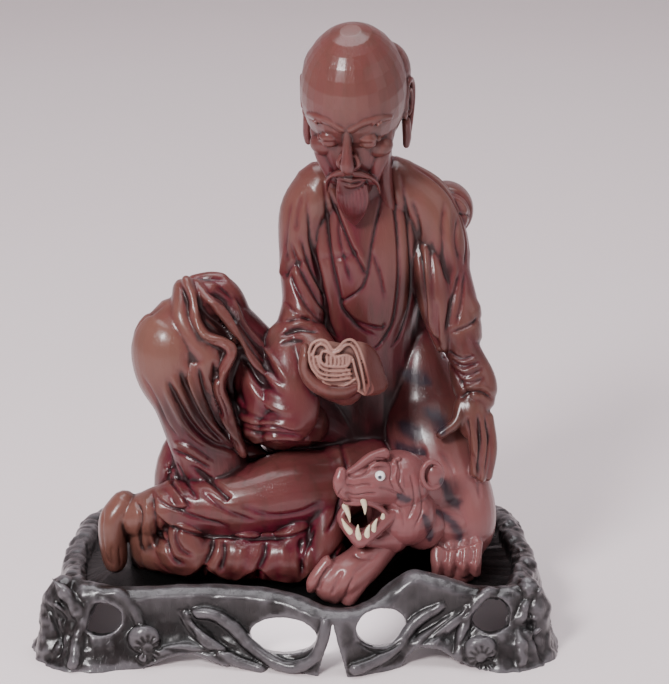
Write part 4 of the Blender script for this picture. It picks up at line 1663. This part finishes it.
def wood(name, dark, middle, light, grain_scale, gloss, coat, bump):
    """Three stains mixed by wear and grain, with roughness and a small bump from the same masks."""
    made = bpy.data.materials.new(name)
    made.use_nodes = True
    tree = made.node_tree
    shader = tree.nodes["Principled BSDF"]
    place = tree.nodes.new("ShaderNodeTexCoord").outputs["Object"]
    grain = use_group(tree, GRAIN, Vector=place, Scale=grain_scale)
    wear = use_group(tree, WEAR, Hollow=number_from(tree, "hollow"), Rubbed=number_from(tree, "rubbed"))
    streak = above(tree, grain.outputs["Streak"], 0.47, 5.0)
    cloud = above(tree, grain.outputs["Cloud"], 0.44, 4.0)
    body = colour_mix(tree, math_node(tree, "MULTIPLY", cloud, 0.36), middle, light)
    body = colour_mix(tree, math_node(tree, "MULTIPLY", streak, 0.5), body, dark)
    worn = math_node(tree, "MULTIPLY", wear.outputs["Worn"], 0.8)
    body = colour_mix(tree, worn, body, light)
    stain = math_node(tree, "MAXIMUM", math_node(tree, "MULTIPLY", wear.outputs["Stained"], 0.85),
                      math_node(tree, "MULTIPLY", number_from(tree, "pooled"), 0.92))
    body = colour_mix(tree, stain, body, dark)
    tree.links.new(body, shader.inputs["Base Color"])
    rough = math_node(tree, "ADD", math_node(tree, "MULTIPLY", wear.outputs["Stained"], 0.22),
                      math_node(tree, "MULTIPLY", grain.outputs["Pore"], 0.12))
    tree.links.new(math_node(tree, "ADD", rough, gloss), shader.inputs["Roughness"])
    shader.inputs["Specular IOR Level"].default_value = 0.3
    shader.inputs["Coat Weight"].default_value = coat
    shader.inputs["Coat Roughness"].default_value = 0.22
    height = tree.nodes.new("ShaderNodeBump")
    height.inputs["Strength"].default_value = bump
    height.inputs["Distance"].default_value = 0.0004
    dents = math_node(tree, "MULTIPLY", grain.outputs["Pore"], 0.6)
    relief = math_node(tree, "SUBTRACT", grain.outputs["Streak"], dents)
    tree.links.new(relief, height.inputs["Height"])
    tree.links.new(height.outputs["Normal"], shader.inputs["Normal"])
    return made, shader


ROSE_DARK, ROSE_MIDDLE, ROSE_LIGHT = (0.005, 0.0004, 0.0008), (0.088, 0.0035, 0.0155), (0.165, 0.075, 0.055)
rosewood, shader = wood("polished rosewood", ROSE_DARK, ROSE_MIDDLE, ROSE_LIGHT, 150.0, 0.28, 0.35, 0.25)


def over(made, shader, layers):
    """Lays colours over a finish's own: each is the name of a corner's number, a share and a colour."""
    tree = made.node_tree
    body = shader.inputs["Base Color"].links[0].from_socket
    for name, share, colour in layers:
        body = colour_mix(tree, math_node(tree, "MULTIPLY", number_from(tree, name), share), body, colour)
    tree.links.new(body, shader.inputs["Base Color"])


over(rosewood, shader, [("beast", 0.62, (0.27, 0.105, 0.105)), ("paint", 0.85, (0.012, 0.012, 0.022))])
SHEET_DARK, SHEET_MIDDLE, SHEET_LIGHT = (0.045, 0.010, 0.008), (0.24, 0.11, 0.085), (0.42, 0.25, 0.21)
pale_wood, pale_shader = wood("pale edges of the scroll", SHEET_DARK, SHEET_MIDDLE, SHEET_LIGHT, 80.0, 0.4,
                              0.2, 0.2)
over(pale_wood, pale_shader, [("rolled", 0.85, (0.11, 0.022, 0.018))])
ROOT_DARK, ROOT_MIDDLE, ROOT_LIGHT = (0.0005, 0.0004, 0.0005), (0.008, 0.006, 0.0055), (0.115, 0.108, 0.116)
root_wood = wood("black-brown root wood", ROOT_DARK, ROOT_MIDDLE, ROOT_LIGHT, 90.0, 0.3, 0.5, 0.6)[0]
hollow = np.empty(len(stand.data.vertices), np.float32)
stand.data.attributes["hollow"].data.foreach_get("value", hollow)
keep_number(stand.data, "rubbed", np.clip(-hollow * 1.8 - 0.5, 0, 0.7))
keep_number(stand.data, "pooled", np.clip(hollow * 1.8 + 0.1, 0, 0.9))
for piece, finish in ((carving, rosewood), (head, rosewood), (tiger_head, rosewood), (scroll, pale_wood),
                      (stand, root_wood)):
    piece.data.materials.clear()
    piece.data.materials.append(finish)
print("woods:", rosewood.name, "-", pale_wood.name, "-", root_wood.name)

# %% [markdown]
# ## Enamel and bone
#
# The pupil and the iris's rim come from how squarely each corner of a bead faces the way the eye looks.

# %% Eyes and teeth
def eye_finish(name, white, iris, pupil_at, iris_at):
    """White, then iris and pupil where the number `look`, 1 at the middle, is above their two levels."""
    made = bpy.data.materials.new(name)
    made.use_nodes = True
    tree = made.node_tree
    shader = tree.nodes["Principled BSDF"]
    look = number_from(tree, "look")
    colour = colour_mix(tree, above(tree, look, iris_at, 40.0), white, iris)
    colour = colour_mix(tree, above(tree, look, pupil_at, 60.0), colour, (0.004, 0.004, 0.005))
    tree.links.new(colour, shader.inputs["Base Color"])
    shader.inputs["Roughness"].default_value = 0.12
    shader.inputs["Coat Weight"].default_value = 0.6
    return made


man_eye = eye_finish("white enamel, dark pupil", (0.72, 0.7, 0.66), (0.05, 0.03, 0.02), 0.93, 0.86)
tiger_eye = eye_finish("white enamel, grey iris", (0.85, 0.85, 0.82), (0.12, 0.14, 0.17), 0.965, 0.90)
for node, eye in eyes.items():
    eye.data.materials.append(man_eye if node.startswith("man") else tiger_eye)


def bone_finish():
    """Ivory, yellower in low-frequency clouds, with fine growth lines along its height."""
    made = bpy.data.materials.new("old bone")
    made.use_nodes = True
    tree = made.node_tree
    shader = tree.nodes["Principled BSDF"]
    place = tree.nodes.new("ShaderNodeTexCoord").outputs["Object"]
    grain = use_group(tree, GRAIN, Vector=place, Scale=260.0)
    colour = colour_mix(tree, grain.outputs["Cloud"], (0.8, 0.74, 0.58), (0.66, 0.52, 0.3))
    colour = colour_mix(tree, math_node(tree, "MULTIPLY", grain.outputs["Pore"], 0.5), colour,
                        (0.35, 0.22, 0.1))
    tree.links.new(colour, shader.inputs["Base Color"])
    shader.inputs["Roughness"].default_value = 0.3
    shader.inputs["Coat Weight"].default_value = 0.3
    return made


bone = bone_finish()
for tooth in teeth.values():
    tooth.data.materials.append(bone)

# %% [markdown]
# ## Floor, light and camera
#
# A plain pale floor that turns up into a wall all round, so that every side view has a background. A
# window lights from the upper left, a wide ceiling light fills in, and a weak one comes from the right. A
# small lamp under the stand keeps its openings pale. Polished wood shows pictures of its lights, so all
# of them are round.

# %% Stage
def material_of(name, colour, roughness):
    """A plain finish for the floor, with faint cloudiness so that it isn't one flat number."""
    made = bpy.data.materials.new(name)
    made.use_nodes = True
    tree = made.node_tree
    shader = tree.nodes["Principled BSDF"]
    noise = tree.nodes.new("ShaderNodeTexNoise")
    noise.inputs["Scale"].default_value = 3.0
    tree.links.new(tree.nodes.new("ShaderNodeTexCoord").outputs["Object"], noise.inputs["Vector"])
    tint = tuple(0.97 * value for value in colour)
    tree.links.new(colour_mix(tree, noise.outputs["Fac"], colour, tint), shader.inputs["Base Color"])
    shader.inputs["Roughness"].default_value = roughness
    return made


def curved_floor():
    """A wide bowl: flat under the part, then a quarter circle up into a wall, turned about the vertical."""
    sides, flat, bend, top = 64, 3.0, 0.9, 3.4
    turn = np.linspace(0, math.pi / 2, 16)
    reach = np.concatenate([[0.02, 1.0], flat + bend * np.sin(turn), [flat + bend]])
    rise = np.concatenate([[0.0, 0.0], bend - bend * np.cos(turn), [top]])
    angle = np.linspace(0, 2 * math.pi, sides, endpoint=False)
    points = np.stack([reach[:, None] * np.cos(angle), reach[:, None] * np.sin(angle),
                       np.broadcast_to(rise[:, None], (len(rise), sides))], -1).reshape(-1, 3)
    i, j = np.meshgrid(np.arange(len(reach) - 1), np.arange(sides), indexing="ij")
    near, far, after = i * sides, (i + 1) * sides, (j + 1) % sides
    faces = np.stack([near + j, far + j, far + after, near + after], -1).reshape(-1, 4)
    k = np.arange(sides)
    middle = np.stack([np.full(sides, len(points)), k, (k + 1) % sides, (k + 1) % sides], -1)
    made = shown("floor", mesh_from("floor", np.vstack([points, (0, 0, 0)]), np.vstack([faces, middle])))
    made.data.shade_smooth()
    made.data.materials.append(material_of("pale mauve-grey floor", (0.87, 0.775, 0.785), 0.9))
    return made


floor = curved_floor()


def area_light(name, place, aim, power, size, colour):
    """A round light at a place, turned towards its aim."""
    light = bpy.data.lights.new(name, "AREA")
    light.shape = "DISK"
    light.energy, light.size, light.color = power, size, colour
    thing = shown(name, light)
    thing.location = place
    thing.rotation_euler = (Vector(aim) - Vector(place)).to_track_quat("-Z", "Y").to_euler()


area_light("window", (-0.55, -0.95, 0.95), (0, 0, 0.14), 20.0, 0.36, (1.0, 0.97, 0.98))
area_light("sky", (0.0, 0.4, 2.7), (0, 0.4, 0), 78.0, 2.6, (0.98, 0.96, 1.0))
area_light("through_openings", (0, 0, 0.017), (0, 0, 0), 0.07, 0.11, (0.98, 0.96, 1.0))
area_light("room", (1.1, -0.5, 0.7), (0, 0, 0.12), 2.0, 1.0, (0.95, 0.97, 1.0))
world = bpy.data.worlds.new("studio")
bpy.context.scene.world = world
world.use_nodes = True
world.node_tree.nodes["Background"].inputs["Color"].default_value = (0.78, 0.74, 0.75, 1)
world.node_tree.nodes["Background"].inputs["Strength"].default_value = 0.11

camera = bpy.data.cameras.new("camera")
camera.sensor_width = 36.0
camera.lens = VIEW_DISTANCE * 2 / 684 * 36
camera_thing = shown("camera", camera)
camera_thing.location = in_place(VIEWER)
camera_thing.rotation_euler = Vector(SIGHT).to_track_quat("-Z", "Y").to_euler()
camera.clip_start, camera.clip_end = 0.05, 20.0
bpy.context.scene.camera = camera_thing
